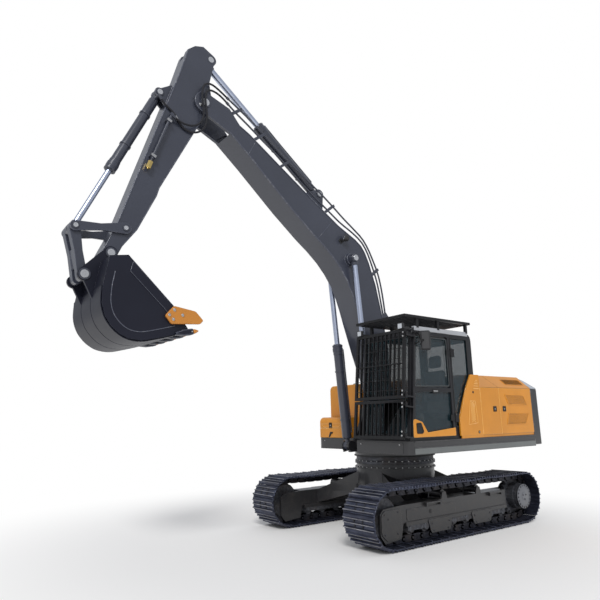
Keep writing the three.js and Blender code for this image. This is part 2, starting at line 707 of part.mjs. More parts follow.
place(doorPivot, 'door_window', sideSlab(doorLocal(doorOutline(mullion + seat)), doorY[0] + 4,
  doorY[0] + 4 + paneThick), glass);

// The seat stands on the cab floor.
const floor = cabBottom + cabWall;
const seatY = (cabInner + cabOuter) / 2;
place(upper, 'seat_base', join(
  box(-60, 420, seatY - 210, seatY + 210, floor + seat, 1790),
  box(60, 560, cabInner + 70, cabInner + 190, 1780, 1960),
  box(60, 300, cabInner + 100, seatY - 200, 1700, 1790),
  box(60, 560, cabOuter - 200, cabOuter - 90, 1780, 1960),
  box(60, 300, seatY + 200, cabOuter - 100, 1700, 1790),
), fabric);
place(upper, 'seat_cushion', box(-30, 460, seatY - 240, seatY + 240, 1790 + seat, 1910), fabric);
place(upper, 'seat_back', sideSlab([[-150, 1790 + seat], [-30 - seat, 1790 + seat], [-30 - seat, 1912],
  [-110, 2740],
  [-190, 2740]], seatY - 230, seatY + 230), fabric);

// ---------------------------------------------------------------- guards

const guardY = [345, 1385];
const guardTube = 45;
const guardThick = 35;
const guardAhead = 150;              // from the cab's front forward to the guards
const guardReach = 30;               // from a guard's edge out to its hinge line
const knuckle = { radius: 16, height: 40 };
const guardTilt = Math.atan(lean);

// A welded frame of square tube with upright bars, in the plane x = 0 before it is leant back.
function barredFrame(width, height, bars, crossbars) {
  const bar = 16;
  const slotWide = (width - 2 * guardTube - bars * bar) / (bars + 1);
  const slotHigh = (height - 2 * guardTube - crossbars * bar) / (crossbars + 1);
  const slots = [];
  for (let i = 0; i <= bars; i += 1) {
    for (let k = 0; k <= crossbars; k += 1) {
      const y = -width + guardTube + i * (slotWide + bar);
      const z = guardTube + k * (slotHigh + bar);
      slots.push(box(-5, guardThick + 5, y, y + slotWide, z, z + slotHigh));
    }
  }
  return cut(solid(box(0, guardThick, -width, 0, 0, height)), ...slots);
}

// The upright round boss of a hinge, around the hinge line.
function hingeBoss(z0, z1) {
  const g = new THREE.CylinderGeometry(knuckle.radius, knuckle.radius, z1 - z0, 12);
  return g.rotateX(Math.PI / 2).translate(0, 0, (z0 + z1) / 2);
}

// A guard swings about its left edge, which leans back with the cab's front. Each of its two
// knuckles stands on a bracket that comes forward from the cab.
function frontGuard(name, low, high, bars, crossbars) {
  const height = (high - low) / Math.cos(guardTilt);
  const group = pivot(upper, name, frontAt(low) + guardAhead, guardY[1] + guardReach, low);
  group.rotation.y = -guardTilt;
  const front = barredFrame(guardY[1] - guardY[0], height, bars, crossbars).translate([-guardThick / 2,
    -guardReach, 0]);
  const levels = [guardTube, height - guardTube - knuckle.height];
  let guard = front;
  for (const z of levels) {
    guard = guard
      .add(solid(box(-10, 10, -guardReach - 5, 0, z, z + knuckle.height)))
      .add(solid(hingeBoss(z, z + knuckle.height)));
  }
  place(group, name, guard, frameGrey);
  return { group, levels };
}

const guards = [frontGuard('guard_upper', 1990, 3010, 10, 1), frontGuard('guard_lower', 1420, 1975, 10, 0)];

// The brackets that carry the guards' knuckles, in the group of the cab.
function guardBrackets() {
  const back = -guardAhead * Math.cos(guardTilt);
  const wall = cabOuter - guardY[1] - guardReach;
  const pieces = [];
  for (const { group, levels } of guards) {
    group.updateMatrix();
    for (const z of levels) {
      const high = z - seat;
      const low = high - 20;
      for (const piece of [
        box(back - 14, back + 30, wall - 30, wall - 2, low, high),
        box(back - 5, back + 30, wall - 5, knuckle.radius, low, high),
        box(back + 10, 0, -knuckle.radius, knuckle.radius, low, high),
        hingeBoss(low, high),
      ]) {
        pieces.push(piece.applyMatrix4(group.matrix));
      }
    }
  }
  return pieces;
}

place(upper, 'cab_shell', guardBrackets().reduce((sum, piece) => sum.add(solid(piece)), cabShell()),
  frameGrey);

// The falling-object guard over the roof: a slatted frame on six feet.
function roofGuard() {
  const [x0, x1, y0, y1] = [-490, 1090, guardY[0], 1400];
  const low = guardTop - 40;
  const rim = 50;
  const slats = 14;
  const slat = 18;
  const slot = (x1 - x0 - 2 * rim - slats * slat) / (slats + 1);
  const slots = [];
  for (let i = 0; i <= slats; i += 1) {
    const x = x0 + rim + i * (slot + slat);
    slots.push(box(x, x + slot, y0 + rim, y1 - rim, low - 5, guardTop + 5));
  }
  let guard = cut(solid(box(x0, x1, y0, y1, low, guardTop)), ...slots);
  for (const x of [x0 + 60, 280, 760]) {
    for (const y of [y0 + 10, y1 - 80]) {
      guard = guard.add(solid(box(x, x + 50, y + 20, y + 60, cabTop + seat, low + 5)));
    }
  }
  return guard;
}

place(upper, 'roof_guard', roofGuard(), frameGrey);

// ---------------------------------------------------------------- boom

const rest = {
  boomRod: { s: 2384, n: 906 },       // boom cylinders' pin
  armBase: { s: 3597, n: 1208 },      // arm cylinder's pin on the boom
  armRod: { s: -767, n: 262 },        // arm cylinder's pin on the arm
  bucketBase: { s: 299, n: 595 },     // bucket cylinder's pin on the arm
  rocker: { s: 2473, n: 0 },          // rocker links' pin on the arm
};

const boomTop = [[110, 120], [700, 610], [1225, 900], [1721, 1140], [2112, 1275], [2300, 1318], [2441,
  1322], [2600, 1275],
  [2978, 1095], [3645, 865], [4389, 625], [5000, 430], [5180, 350], [5478, 345]];
const boomUnder = [[5160, 92], [4632, 197], [3750, 345], [3162, 472], [2878, 550], [2608, 602], [2368,
  618], [2126, 606],
  [1870, 544], [1662, 473], [1434, 385], [900, 190], [140, -60]];
const stretch = boomLength / 5708;
const scaled = (points) => points.map(([s, n]) => [s * stretch, n]);
const forkGap = armWidth / 2 + pinPlay;
const forkRootS = boomLength - 560;

const boomPivot = pivot(upper, 'boom', boomFoot.x, boomY, boomFoot.z, boomAngle);

function boomBody() {
  const w = boomWidth / 2;
  const outline = [...arc(0, 0, 150, 220, 120, 6), ...scaled(boomTop),
    ...arc(boomLength, 0, 175, 75, -100, 8), ...scaled(boomUnder)].reverse();
  let boom = solid(sideSlab(outline, -w, w));
  const inner = [...scaled(boomTop.slice(1, -1)).map(([s, n]) => [s, n - boomPlate]),
    [boomLength - 500, 330 - boomPlate], [boomLength - 500, 95 + boomPlate],
    ...scaled(boomUnder.slice(1, -1)).map(([s, n]) => [s, n + boomPlate])].reverse();
  boom = cut(boom, sideSlab(inner, -w + boomPlate, w - boomPlate),
    box(forkRootS, boomLength + 300, -forkGap, forkGap, -400, 700));
  // Bosses for the boom cylinders' pin and ears for the arm cylinder.
  const rod = rest.boomRod;
  const base = rest.armBase;
  boom = boom.add(solid(barY(rod.s, rod.n, 105, -w - 60 + pinPlay, w + 60 - pinPlay, 24)));
  for (const side of [1, -1]) {
    const y = side > 0 ? [armEyeHalf + pinPlay, armEyeHalf + 36] : [-armEyeHalf - 36,
      -armEyeHalf - pinPlay];
    const ear = [[base.s + 190, 780], ...arc(base.s, base.n, 90, 0, 160, 7), [base.s - 420, 930],
      [base.s - 300, 780]];
    boom = boom.add(solid(sideSlab(ear, ...y)));
  }
  return boom;
}

const armEyeHalf = 60;
place(boomPivot, 'boom', boomBody(), slate);

// ---------------------------------------------------------------- arm

const armPivot = pivot(boomPivot, 'arm', boomLength, 0, 0, armAngle - boomAngle);
const armScale = armLength / 2894;
const armOutline = [[-757, 565], [-607, 623], [-155, 535], [2304, 149], [2600, 110]];
const armUnder = [[2700, -88], [2382, -140], [1781, -124], [1658, -100], [410, -102]];
const armStretch = (points) => points.map(([s, n]) => [s * armScale, n]);

function armBody() {
  const w = armWidth / 2;
  const outline = [...armStretch(armOutline), ...arc(armLength, 0, 95, 80, -95, 8), ...armStretch(armUnder),
    ...arc(0, 0, 150, -60, -140, 5), [-376, 93], ...arc(rest.armRod.s, rest.armRod.n, 90, -60, -180, 6),
    [-860, 460]].reverse();
  const inner = [[-560, 590], [-155, 535 - 18], [2304 * armScale, 149 - 18], [2304 * armScale, -110],
    [1781 * armScale, -106], [1658 * armScale, -82], [410, -84], [200, -60], [200, 150], [-150, 170],
    [-330, 250], [-560, 400]].reverse();
  let arm = cut(solid(sideSlab(outline, -w, w)), sideSlab(inner, -w + 16, w - 16));
  // Between the ears at the rear, for the arm cylinder's rod.
  arm = cut(arm, box(-1000, -505, -armEyeHalf - pinPlay, armEyeHalf + pinPlay, 100, 760));
  const base = rest.bucketBase;
  for (const side of [1, -1]) {
    const y = side > 0 ? [bucketEyeHalf + pinPlay, bucketEyeHalf + 32] : [-bucketEyeHalf - 32,
      -bucketEyeHalf - pinPlay];
    const ear = [[base.s + 130, 430], ...arc(base.s, base.n, 75, 0, 165, 7), [base.s - 240, 520],
      [base.s - 180, 420]];
    arm = arm.add(solid(sideSlab(ear, ...y)));
  }
  return arm;
}

const bucketEyeHalf = 50;
place(armPivot, 'arm', armBody(), slate);

// ---------------------------------------------------------------- bucket and its links

const bucketPivot = pivot(armPivot, 'bucket', armLength, 0, 0, bucketAngle - armAngle);
const rockerInner = armWidth / 2 + pinPlay;
const rockerPlate = 38;
const rockerWaist = 45;
const earHalf = rockerInner + rockerPlate + 6;   // the bucket's ears stand outside the rocker links
const earPlate = 40;
const linkPin = { s: 0, n: 0 };      // filled in from the rest position of the linkage below

// World positions of the links' pins at rest, in x and z.
const pinWorld = {
  rockerEnd: { x: 5487, z: 4116 },
  linkEnd: { x: 5355, z: 3502 },
};

// A point given in the machine's side view, seen from a pivot group.
function local(group, point) {
  whole.updateMatrixWorld(true);
  const v = group.worldToLocal(new THREE.Vector3(point.x, boomY, point.z));
  return { s: v.x, n: v.z };
}

Object.assign(linkPin, local(bucketPivot, pinWorld.linkEnd));

// The bowl's side view about the bucket pin, along the line to the teeth (s) and square to it (n).
const bowlBack = [[144, -1], [12, 183], [106, 330], [225, 500], [365, 648], [500, 728], [630, 757], [760,
  752],
  [880, 712], [1009, 610], [1130, 430], [1257, 215], [1335, 85]];
const bowlWall = 28;
const bucketEarRadius = 86;

// An open run of points moved square to itself, to its right when the distance is positive.
function offsetRun(points, distance) {
  return points.map((p, i) => {
    const a = points[Math.max(i - 1, 0)];
    const b = points[Math.min(i + 1, points.length - 1)];
    const length = Math.hypot(b[0] - a[0], b[1] - a[1]);
    return [p[0] + distance * (b[1] - a[1]) / length, p[1] - distance * (b[0] - a[0]) / length];
  });
}

function bucketBody() {
  const w = bucketWidth / 2;
  const shell = solid(sideSlab([...bowlBack, [1335, 60], [966, -5]], -w, w));
  const inside = [...offsetRun(bowlBack, bowlWall), [1330, -200], [180, -200]];
  let bucket = cut(shell, sideSlab(inside, -w + bowlWall, w - bowlWall));
  const ear = [[154, 8], ...arc(0, 0, bucketEarRadius, -20, -190, 9), ...arc(linkPin.s, linkPin.n, 85,
    190, 50, 7),
    [336, 600], [236, 490], [118, 322], [26, 184]];
  for (const side of [1, -1]) {
    const span = (a, b) => (side > 0 ? [a, b] : [-b, -a]);
    bucket = bucket
      .add(solid(sideSlab(ear, ...span(earHalf, earHalf + earPlate))))
      .add(solid(barY(0, 0, 48, ...span(rockerInner, earHalf + 10), 16)))
      .add(solid(barY(linkPin.s, linkPin.n, 60, ...span(rockerInner, earHalf + 10), 16)));
  }
  return bucket;
}

place(bucketPivot, 'bucket', bucketBody(), slate);

// Rocker links: a plate on each side of the arm.
const rockerEnd = local(armPivot, pinWorld.rockerEnd);
const rockerReach = Math.hypot(rockerEnd.s - rest.rocker.s * armScale, rockerEnd.n - rest.rocker.n);
const rockerTurn = THREE.MathUtils.radToDeg(Math.atan2(rockerEnd.n - rest.rocker.n,
  rockerEnd.s - rest.rocker.s * armScale));
const rockerPivot = pivot(armPivot, 'rocker', rest.rocker.s * armScale, 0, rest.rocker.n, rockerTurn);

// A bar with a round boss at each end.
function linkPlate(reach, r0, r1, waist, y0, y1) {
  const lens = [...arc(reach, 0, r1, -80, 80, 8), [reach / 2, waist], ...arc(0, 0, r0, 80, 280, 8),
    [reach / 2, -waist]];
  return sideSlab(lens, y0, y1);
}

place(rockerPivot, 'rocker_link_left',
  linkPlate(rockerReach, 78, 68, rockerWaist, rockerInner, rockerInner + rockerPlate), slate);
place(rockerPivot, 'rocker_link_right',
  linkPlate(rockerReach, 78, 68, rockerWaist, -rockerInner - rockerPlate, -rockerInner), slate);

// H-link: from the rocker's end down to the bucket's second pin.
const hEnd = local(rockerPivot, pinWorld.linkEnd);
const hReach = Math.hypot(hEnd.s - rockerReach, hEnd.n);
const hTurn = THREE.MathUtils.radToDeg(Math.atan2(hEnd.n, hEnd.s - rockerReach));
const hPivot = pivot(rockerPivot, 'h_link', rockerReach, 0, 0, hTurn);
const hOuter = rockerInner - pinPlay - 1;
const rodEyeHalf = 58;
const hLink = join(
  linkPlate(hReach, 70, 62, 50, rodEyeHalf + pinPlay, hOuter),
  linkPlate(hReach, 70, 62, 50, -hOuter, -rodEyeHalf - pinPlay),
  box(hReach * 0.42, hReach * 0.8, -rodEyeHalf - 5, rodEyeHalf + 5, -42, 42),
);
place(hPivot, 'h_link', hLink, slate);

// ---------------------------------------------------------------- cylinders

// One cylinder: a barrel hinged at its base and a rod that slides in it. The rod runs in the
// barrel's bore with a small clearance, and its eye sits at the far pin. tail is how far from the
// base the rod's inner end lies at rest.
const rodPlay = 0.8;
function cylinder(group, name, y, base, eye, size) {
  const from = base;
  const reach = Math.hypot(eye.s - base.s, eye.n - base.n);
  const turn = THREE.MathUtils.radToDeg(Math.atan2(eye.n - base.n, eye.s - base.s));
  const barrelPivot = pivot(group, `${name}_barrel`, from.s, y, from.n, turn);
  const rodPivot = pivot(barrelPivot, `${name}_rod`, 0, 0, 0);
  const { barrelLength, barrelRadius, rodRadius, baseRadius, eyeRadius, halfBase: hb, halfEye: he,
    tail } = size;
  const neck = baseRadius + 50;
  const barrel = join(
    barY(0, 0, baseRadius, -hb, hb, 16),
    barX(0, neck + 5, hb - 4, 16),
    barX(neck, barrelLength, barrelRadius, 18),
    barX(barrelLength - 90, barrelLength + 40, barrelRadius + 12, 18),
    ...(size.port ?? []),
  );
  place(barrelPivot, `${name}_barrel`, cut(barrel, barX(neck + 20, barrelLength + 60,
    rodRadius + rodPlay, 16)), slate);
  const rod = join(barX(tail, reach - eyeRadius + 15, rodRadius, 16), barY(reach, 0, eyeRadius, -he, he,
    16));
  place(rodPivot, `${name}_rod`, rod, chrome);
}

const toUpper = (p) => ({ s: p.x, n: p.z });
function worldOf(group, p) {
  whole.updateMatrixWorld(true);
  const v = group.localToWorld(new THREE.Vector3(p.s, 0, p.n));
  return { x: v.x, z: v.z };
}

const boomEye = worldOf(boomPivot, { s: rest.boomRod.s, n: rest.boomRod.n });
for (const [label, side] of [['left', 1], ['right', -1]]) {
  cylinder(upper, `boom_cylinder_${label}`, boomY + side * cylinderOffset, toUpper(cylinderBase),
    toUpper(boomEye), {
    barrelLength: 1700, barrelRadius: 80, rodRadius: 45, baseRadius: 72, eyeRadius: 78,
    halfBase: eyeHalf, halfEye: eyeHalf, tail: 1430,
  });
}

const armEye = local(boomPivot, worldOf(armPivot, { s: rest.armRod.s, n: rest.armRod.n }));
cylinder(boomPivot, 'arm_cylinder', 0, rest.armBase, armEye, {
  barrelLength: 1500, barrelRadius: 85, rodRadius: 50, baseRadius: 80, eyeRadius: 84,
  halfBase: armEyeHalf, halfEye: armEyeHalf, tail: 1210,
});

// The elbow on the bucket cylinder's base, out past the arm's face and down to its hose.
const portAt = { along: 130, side: 190, radius: 20, down: 75, turn: THREE.MathUtils.degToRad(-60.4) };
const portEnd = [portAt.along + portAt.down * Math.cos(portAt.turn), portAt.side,
  portAt.down * Math.sin(portAt.turn)];
const bucketEye = { s: rockerEnd.s, n: rockerEnd.n };
cylinder(armPivot, 'bucket_cylinder', 0, rest.bucketBase, bucketEye, {
  barrelLength: 1480, barrelRadius: 70, rodRadius: 40, baseRadius: 68, eyeRadius: 72,
  halfBase: bucketEyeHalf, halfEye: rodEyeHalf, tail: 1100,
  port: [
    barY(portAt.along, 0, portAt.radius, 30, portAt.side + portAt.radius, 12),
    bar([portAt.along, portAt.side, 0], portEnd, portAt.radius),
  ],
});

// ---------------------------------------------------------------- pipes and hoses

const hose = { radius: 15, steps: 40, lead: 35 };
const pipe = { radius: 15, collar: 22, collarLength: 50, past: 4 };

// Height of the boom's top plate above the line between its pins.
function topAt(s) {
  const i = boomTop.findIndex(([x]) => x > s);
  const [s0, n0] = boomTop[i - 1];
  const [s1, n1] = boomTop[i];
  return n0 + (n1 - n0) * (s - s0) / (s1 - s0);
}

// Two pipes, one above the other, on clamps along the boom's left edge.
const pipeSide = 195;
const pipeHalf = 25;
const pipeRuns = {
  upper: [[1160, 985], [1400, 1135], [1620, 1260], [1850, 1362], [2084, 1420], [2320, 1462], [2520,
  1462], [2717, 1408],
    [3005, 1313], [3330, 1223], [3598, 1140], [4000, 990], [4468, 822], [4940, 691], [5203, 610], [5431,
    521], [5655, 433]],
  lower: [[1160, 925], [1400, 1055], [1721, 1225], [2000, 1325], [2300, 1400], [2480, 1402], [2700,
  1330], [3000, 1185],
    [3330, 1070], [3645, 960], [4000, 852], [4456, 740], [4842, 610], [5105, 528], [5389, 430], [5585,
    378]],
};
const clamps = [{ s: 1162, top: 1020, half: 48 }, { s: 1900, top: 1405, half: 22 }, { s: 3300, top: 1258,
  half: 22 },
  { s: 4330, top: 900, half: 22 }, { s: 4900, top: 730, half: 22 }, { s: 5400, top: 562, half: 22 }];

// The last point of a run, moved on along its last stretch.
function runEnd(run, past) {
  const [a, b] = run.slice(-2);
  const length = Math.hypot(b[0] - a[0], b[1] - a[1]);
  return [b[0] + past * (b[0] - a[0]) / length, pipeSide, b[1] + past * (b[1] - a[1]) / length];
}

function boomPipes() {
  const posts = clamps.map(({ s, top, half }) => sideSlab(
    [[s - half, topAt(s - half) + seat], [s + half, topAt(s + half) + seat], [s + half, top], [s - half,
    top]],
    pipeSide - pipeHalf, pipeSide + pipeHalf));
  const runs = Object.values(pipeRuns);
  return join(
    ...posts,
    ...runs.map((run) => tube(run.map(([s, n]) => [s, pipeSide, n]), pipe.radius, hose.steps)),
    ...runs.map((run) => bar(runEnd(run, pipe.past - pipe.collarLength), runEnd(run, pipe.past),
    pipe.collar)),
  );
}
place(boomPivot, 'boom_pipes', boomPipes(), slate);

// The pipe along the arm's left face, with its clamps and the valve at its lower end.
const armFace = armWidth / 2 + seat;
const armPipe = { side: 227, radius: 22, top: [592, 303], low: [1391, 200], inlet: 232 };
const valve = { start: 1440, length: 105, radius: 30, stem: 15 };
const onPipe = (s) => armPipe.top[1] + (armPipe.low[1] - armPipe.top[1]) *
  (s - armPipe.top[0]) / (armPipe.low[0] - armPipe.top[0]);
const pipePoint = (s) => [s, armPipe.side, onPipe(s)];
const armClamp = (s) => box(s - 26, s + 26, armFace, armPipe.side + 28, onPipe(s) - 38, onPipe(s) + 38);
place(armPivot, 'arm_pipe', join(
  bar(pipePoint(armPipe.top[0]), pipePoint(armPipe.low[0]), armPipe.radius),
  box(armPipe.top[0] - 26, armPipe.top[0] + 26, armPipe.side - 24, armPipe.side + 24,
  onPipe(armPipe.top[0]) - 25,
    onPipe(armPipe.top[0]) + 25),
  bar([armPipe.top[0], armPipe.side, armPipe.inlet], [armPipe.top[0], armPipe.side, armPipe.top[1]],
  pipe.collar),
  armClamp(705),
  armClamp(1340),
  bar(pipePoint(armPipe.low[0] - 5), pipePoint(valve.start + 5), valve.stem),
  bar(pipePoint(valve.start), pipePoint(valve.start + valve.length), valve.radius, 8),
), slate);

// The union between the lower hose and the bucket cylinder's hose, on a foot on the arm's face.
const union = { s: 555, side: 188.5, n: 215, half: 35, radius: 19, turn: THREE.MathUtils.degToRad(118),
  foot: 16 };
const unionPoint = (d) => [union.s + d * Math.cos(union.turn), union.side,
  union.n + d * Math.sin(union.turn)];
place(armPivot, 'hose_union', join(
  bar(unionPoint(-union.half), unionPoint(union.half), union.radius),
  box(union.s - union.foot, union.s + union.foot, armFace, union.side, union.n - union.foot,
  union.n + union.foot),
), slate);

// Points of one group seen from the machine, and the other way round.
function toMachine(group, points) {
  whole.updateMatrixWorld(true);
  return points.map((p) => upper.worldToLocal(group.localToWorld(new THREE.Vector3(...p))).toArray());
}
function fromMachine(group, points) {
  whole.updateMatrixWorld(true);
  return points.map((p) => group.worldToLocal(upper.localToWorld(new THREE.Vector3(...p))).toArray());
}

// The hoses' routes, in the machine's frame, with a straight lead out of each fitting.
const routes = {
  arm_hose_upper: [
    ...toMachine(boomPivot, [runEnd(pipeRuns.upper, pipe.past + seat), runEnd(pipeRuns.upper,
    pipe.past + hose.lead)]),
    [3485, 95, 6697], [3549, 95, 6731], [3613, 98, 6756], [3676, 105, 6762], [3737, 116, 6743], [3786,
    130, 6702],
    [3818, 143, 6644], [3835, 151, 6576], [3841, 156, 6505], [3837, 159, 6432], [3826, 159, 6360], [3813,
    156, 6288],
    [3806, 150, 6216], [3809, 143, 6146], [3831, 138, 6080], [3869, 134, 6022], [3921, 131, 5977], [3984,
    129, 5951],
    [4052, 128, 5941], [4110, 127, 5943], [4158, 127, 5953],
    ...toMachine(armPivot, [[armPipe.top[0], armPipe.side, armPipe.inlet - hose.lead],
      [armPipe.top[0], armPipe.side, armPipe.inlet - seat]]),
  ],
  arm_hose_lower: [
    ...toMachine(boomPivot, [runEnd(pipeRuns.lower, pipe.past + seat), runEnd(pipeRuns.lower,
    pipe.past + hose.lead)]),
    [3475, 95, 6612], [3532, 97, 6640], [3594, 101, 6656], [3656, 111, 6654], [3713, 127, 6632], [3755,
    142, 6590],
    [3778, 150, 6535], [3787, 155, 6472], [3785, 157, 6404], [3776, 157, 6334], [3764, 155, 6262], [3755,
    150, 6190],
    [3753, 143, 6117], [3762, 134, 6046], [3786, 124, 5981], [3826, 114, 5926], [3882, 106, 5888], [3945,
    99, 5868],
    [4010, 93, 5867], [4071, 89.5, 5883], [4121, 88.5, 5914],
    ...toMachine(armPivot, [unionPoint(-union.half - hose.lead), unionPoint(-union.half - seat)]),
  ],
};
for (const [name, route] of Object.entries(routes)) {
  place(boomPivot, name, tube(fromMachine(boomPivot, route), hose.radius, hose.steps), rubber);
}

// The bucket cylinder's hose, from its elbow down to the union.
const ramPivot = whole.getObjectByName('pivot_bucket_cylinder_barrel');
const elbow = (past) => [portEnd[0] + past * Math.cos(portAt.turn), portEnd[1],
  portEnd[2] + past * Math.sin(portAt.turn)];
const handle = 110;
const lead = 12;
const fromElbow = toMachine(ramPivot, [elbow(seat), elbow(lead), elbow(handle)]);
const toUnion = toMachine(armPivot, [handle, lead, seat].map((d) => unionPoint(union.half + d)));
const corners = [...fromElbow.slice(1), ...toUnion.slice(0, 2)].map((p) => new THREE.Vector3(...p));
const bend = new THREE.CubicBezierCurve3(...corners).getPoints(12).map((p) => p.toArray());
routes.bucket_hose = [fromElbow[0], ...bend, toUnion[2]];
place(armPivot, 'bucket_hose', tube(fromMachine(armPivot, routes.bucket_hose), hose.radius, 12), rubber);

// ---------------------------------------------------------------- the origin

whole.updateMatrixWorld(true);
const bounds = new THREE.Box3().setFromObject(whole, true);
const middle = bounds.getCenter(new THREE.Vector3());
for (const half of [undercarriage, upper]) {
  half.position.set(-middle.x, -middle.y, -bounds.min.z);
}
whole.updateMatrixWorld(true);

export default whole;
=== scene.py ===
"""Looks of a crawler excavator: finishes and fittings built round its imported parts.

Lengths are in metres, in the parts' own frame: +X is the way the boom reaches, +Y is the
machine's left, +Z is up. Most sizes are written in the machine's frame, whose origin is on the
swing axis at ground level, and are moved by the swing joint's place.
"""

import json
import logging
import math
from dataclasses import dataclass
from enum import Enum
from typing import Any, Sequence

import bmesh
import bpy
import numpy as np
from mathutils import Matrix, Vector

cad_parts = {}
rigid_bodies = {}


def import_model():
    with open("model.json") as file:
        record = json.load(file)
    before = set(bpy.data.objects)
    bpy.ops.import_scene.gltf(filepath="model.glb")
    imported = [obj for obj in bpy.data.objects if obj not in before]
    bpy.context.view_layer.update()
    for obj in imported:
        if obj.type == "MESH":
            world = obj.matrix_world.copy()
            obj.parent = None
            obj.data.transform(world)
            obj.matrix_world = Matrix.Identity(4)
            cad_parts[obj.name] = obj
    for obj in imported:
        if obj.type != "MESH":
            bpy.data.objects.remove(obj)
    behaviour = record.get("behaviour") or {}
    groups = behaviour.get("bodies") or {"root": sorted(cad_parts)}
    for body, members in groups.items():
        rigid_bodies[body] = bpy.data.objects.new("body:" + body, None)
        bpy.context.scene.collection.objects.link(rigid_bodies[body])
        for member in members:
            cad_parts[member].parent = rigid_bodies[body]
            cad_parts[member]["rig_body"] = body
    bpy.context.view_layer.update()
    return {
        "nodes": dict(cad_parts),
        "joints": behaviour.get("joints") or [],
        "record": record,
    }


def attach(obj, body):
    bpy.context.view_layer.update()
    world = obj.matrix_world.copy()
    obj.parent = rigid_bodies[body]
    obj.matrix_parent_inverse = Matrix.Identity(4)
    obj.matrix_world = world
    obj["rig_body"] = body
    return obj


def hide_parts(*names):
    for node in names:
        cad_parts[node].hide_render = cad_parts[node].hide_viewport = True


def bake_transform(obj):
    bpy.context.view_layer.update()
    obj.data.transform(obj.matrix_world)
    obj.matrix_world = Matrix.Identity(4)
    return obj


LOG = logging.getLogger("excavator")
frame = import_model()
JOINTS = {joint["name"]: joint for joint in frame["joints"]}
BODY_OF = {
    node: body
    for body, nodes in frame["record"]["behaviour"]["bodies"].items()
    for node in nodes
}
SWING = float(JOINTS["swing"]["pos_m"][0])

Array = np.ndarray
Shell = tuple[Array, list[list[int]]]
Colour = tuple[float, float, float]


# ------------------------------------------------------------------ shader toolkit


class Wire:
    """One socket of a shader tree, on which Python's arithmetic adds Math nodes."""

    def __init__(self, shade: "Shade", socket: Any) -> None:
        """Keep the tree and the socket."""
        self.shade = shade
        self.socket = socket

    def _math(self, operation: str, left: Any, right: Any) -> "Wire":
        """Add one Math node and return its output."""
        return self.shade.add("ShaderNodeMath", {"operation": operation}, {0: left, 1: right})

    def __add__(self, other: Any) -> "Wire":
        """Sum."""
        return self._math("ADD", self, other)

    def __sub__(self, other: Any) -> "Wire":
        """Difference."""
        return self._math("SUBTRACT", self, other)

    def __rsub__(self, other: Any) -> "Wire":
        """Reflected difference."""
        return self._math("SUBTRACT", other, self)

    def __mul__(self, other: Any) -> "Wire":
        """Product."""
        return self._math("MULTIPLY", self, other)

    def least(self, other: Any) -> "Wire":
        """Smaller of two values."""
        return self._math("MINIMUM", self, other)

    def most(self, other: Any) -> "Wire":
        """Larger of two values."""
        return self._math("MAXIMUM", self, other)

    def ribs(self, turns: float) -> "Wire":
        """Sine of the value times a number of radians, brought between 0 and 1."""
        wave = {0: self * turns}
        return self.shade.add("ShaderNodeMath", {"operation": "SINE"}, wave) * 0.5 + 0.5

    def rise(self, low: float, high: float) -> "Wire":
        """Smooth step from 0 at low to 1 at high.

        Args:
            low: Value at which the step starts.
            high: Value at which it ends; below low, the step falls instead.

        Returns:
            The stepped value, from 0 to 1.
        """
        settings = {"interpolation_type": "SMOOTHSTEP"}
        sockets = {0: self, 1: min(low, high), 2: max(low, high)}
        step = self.shade.add("ShaderNodeMapRange", settings, sockets)
        return step if low <= high else 1 - step


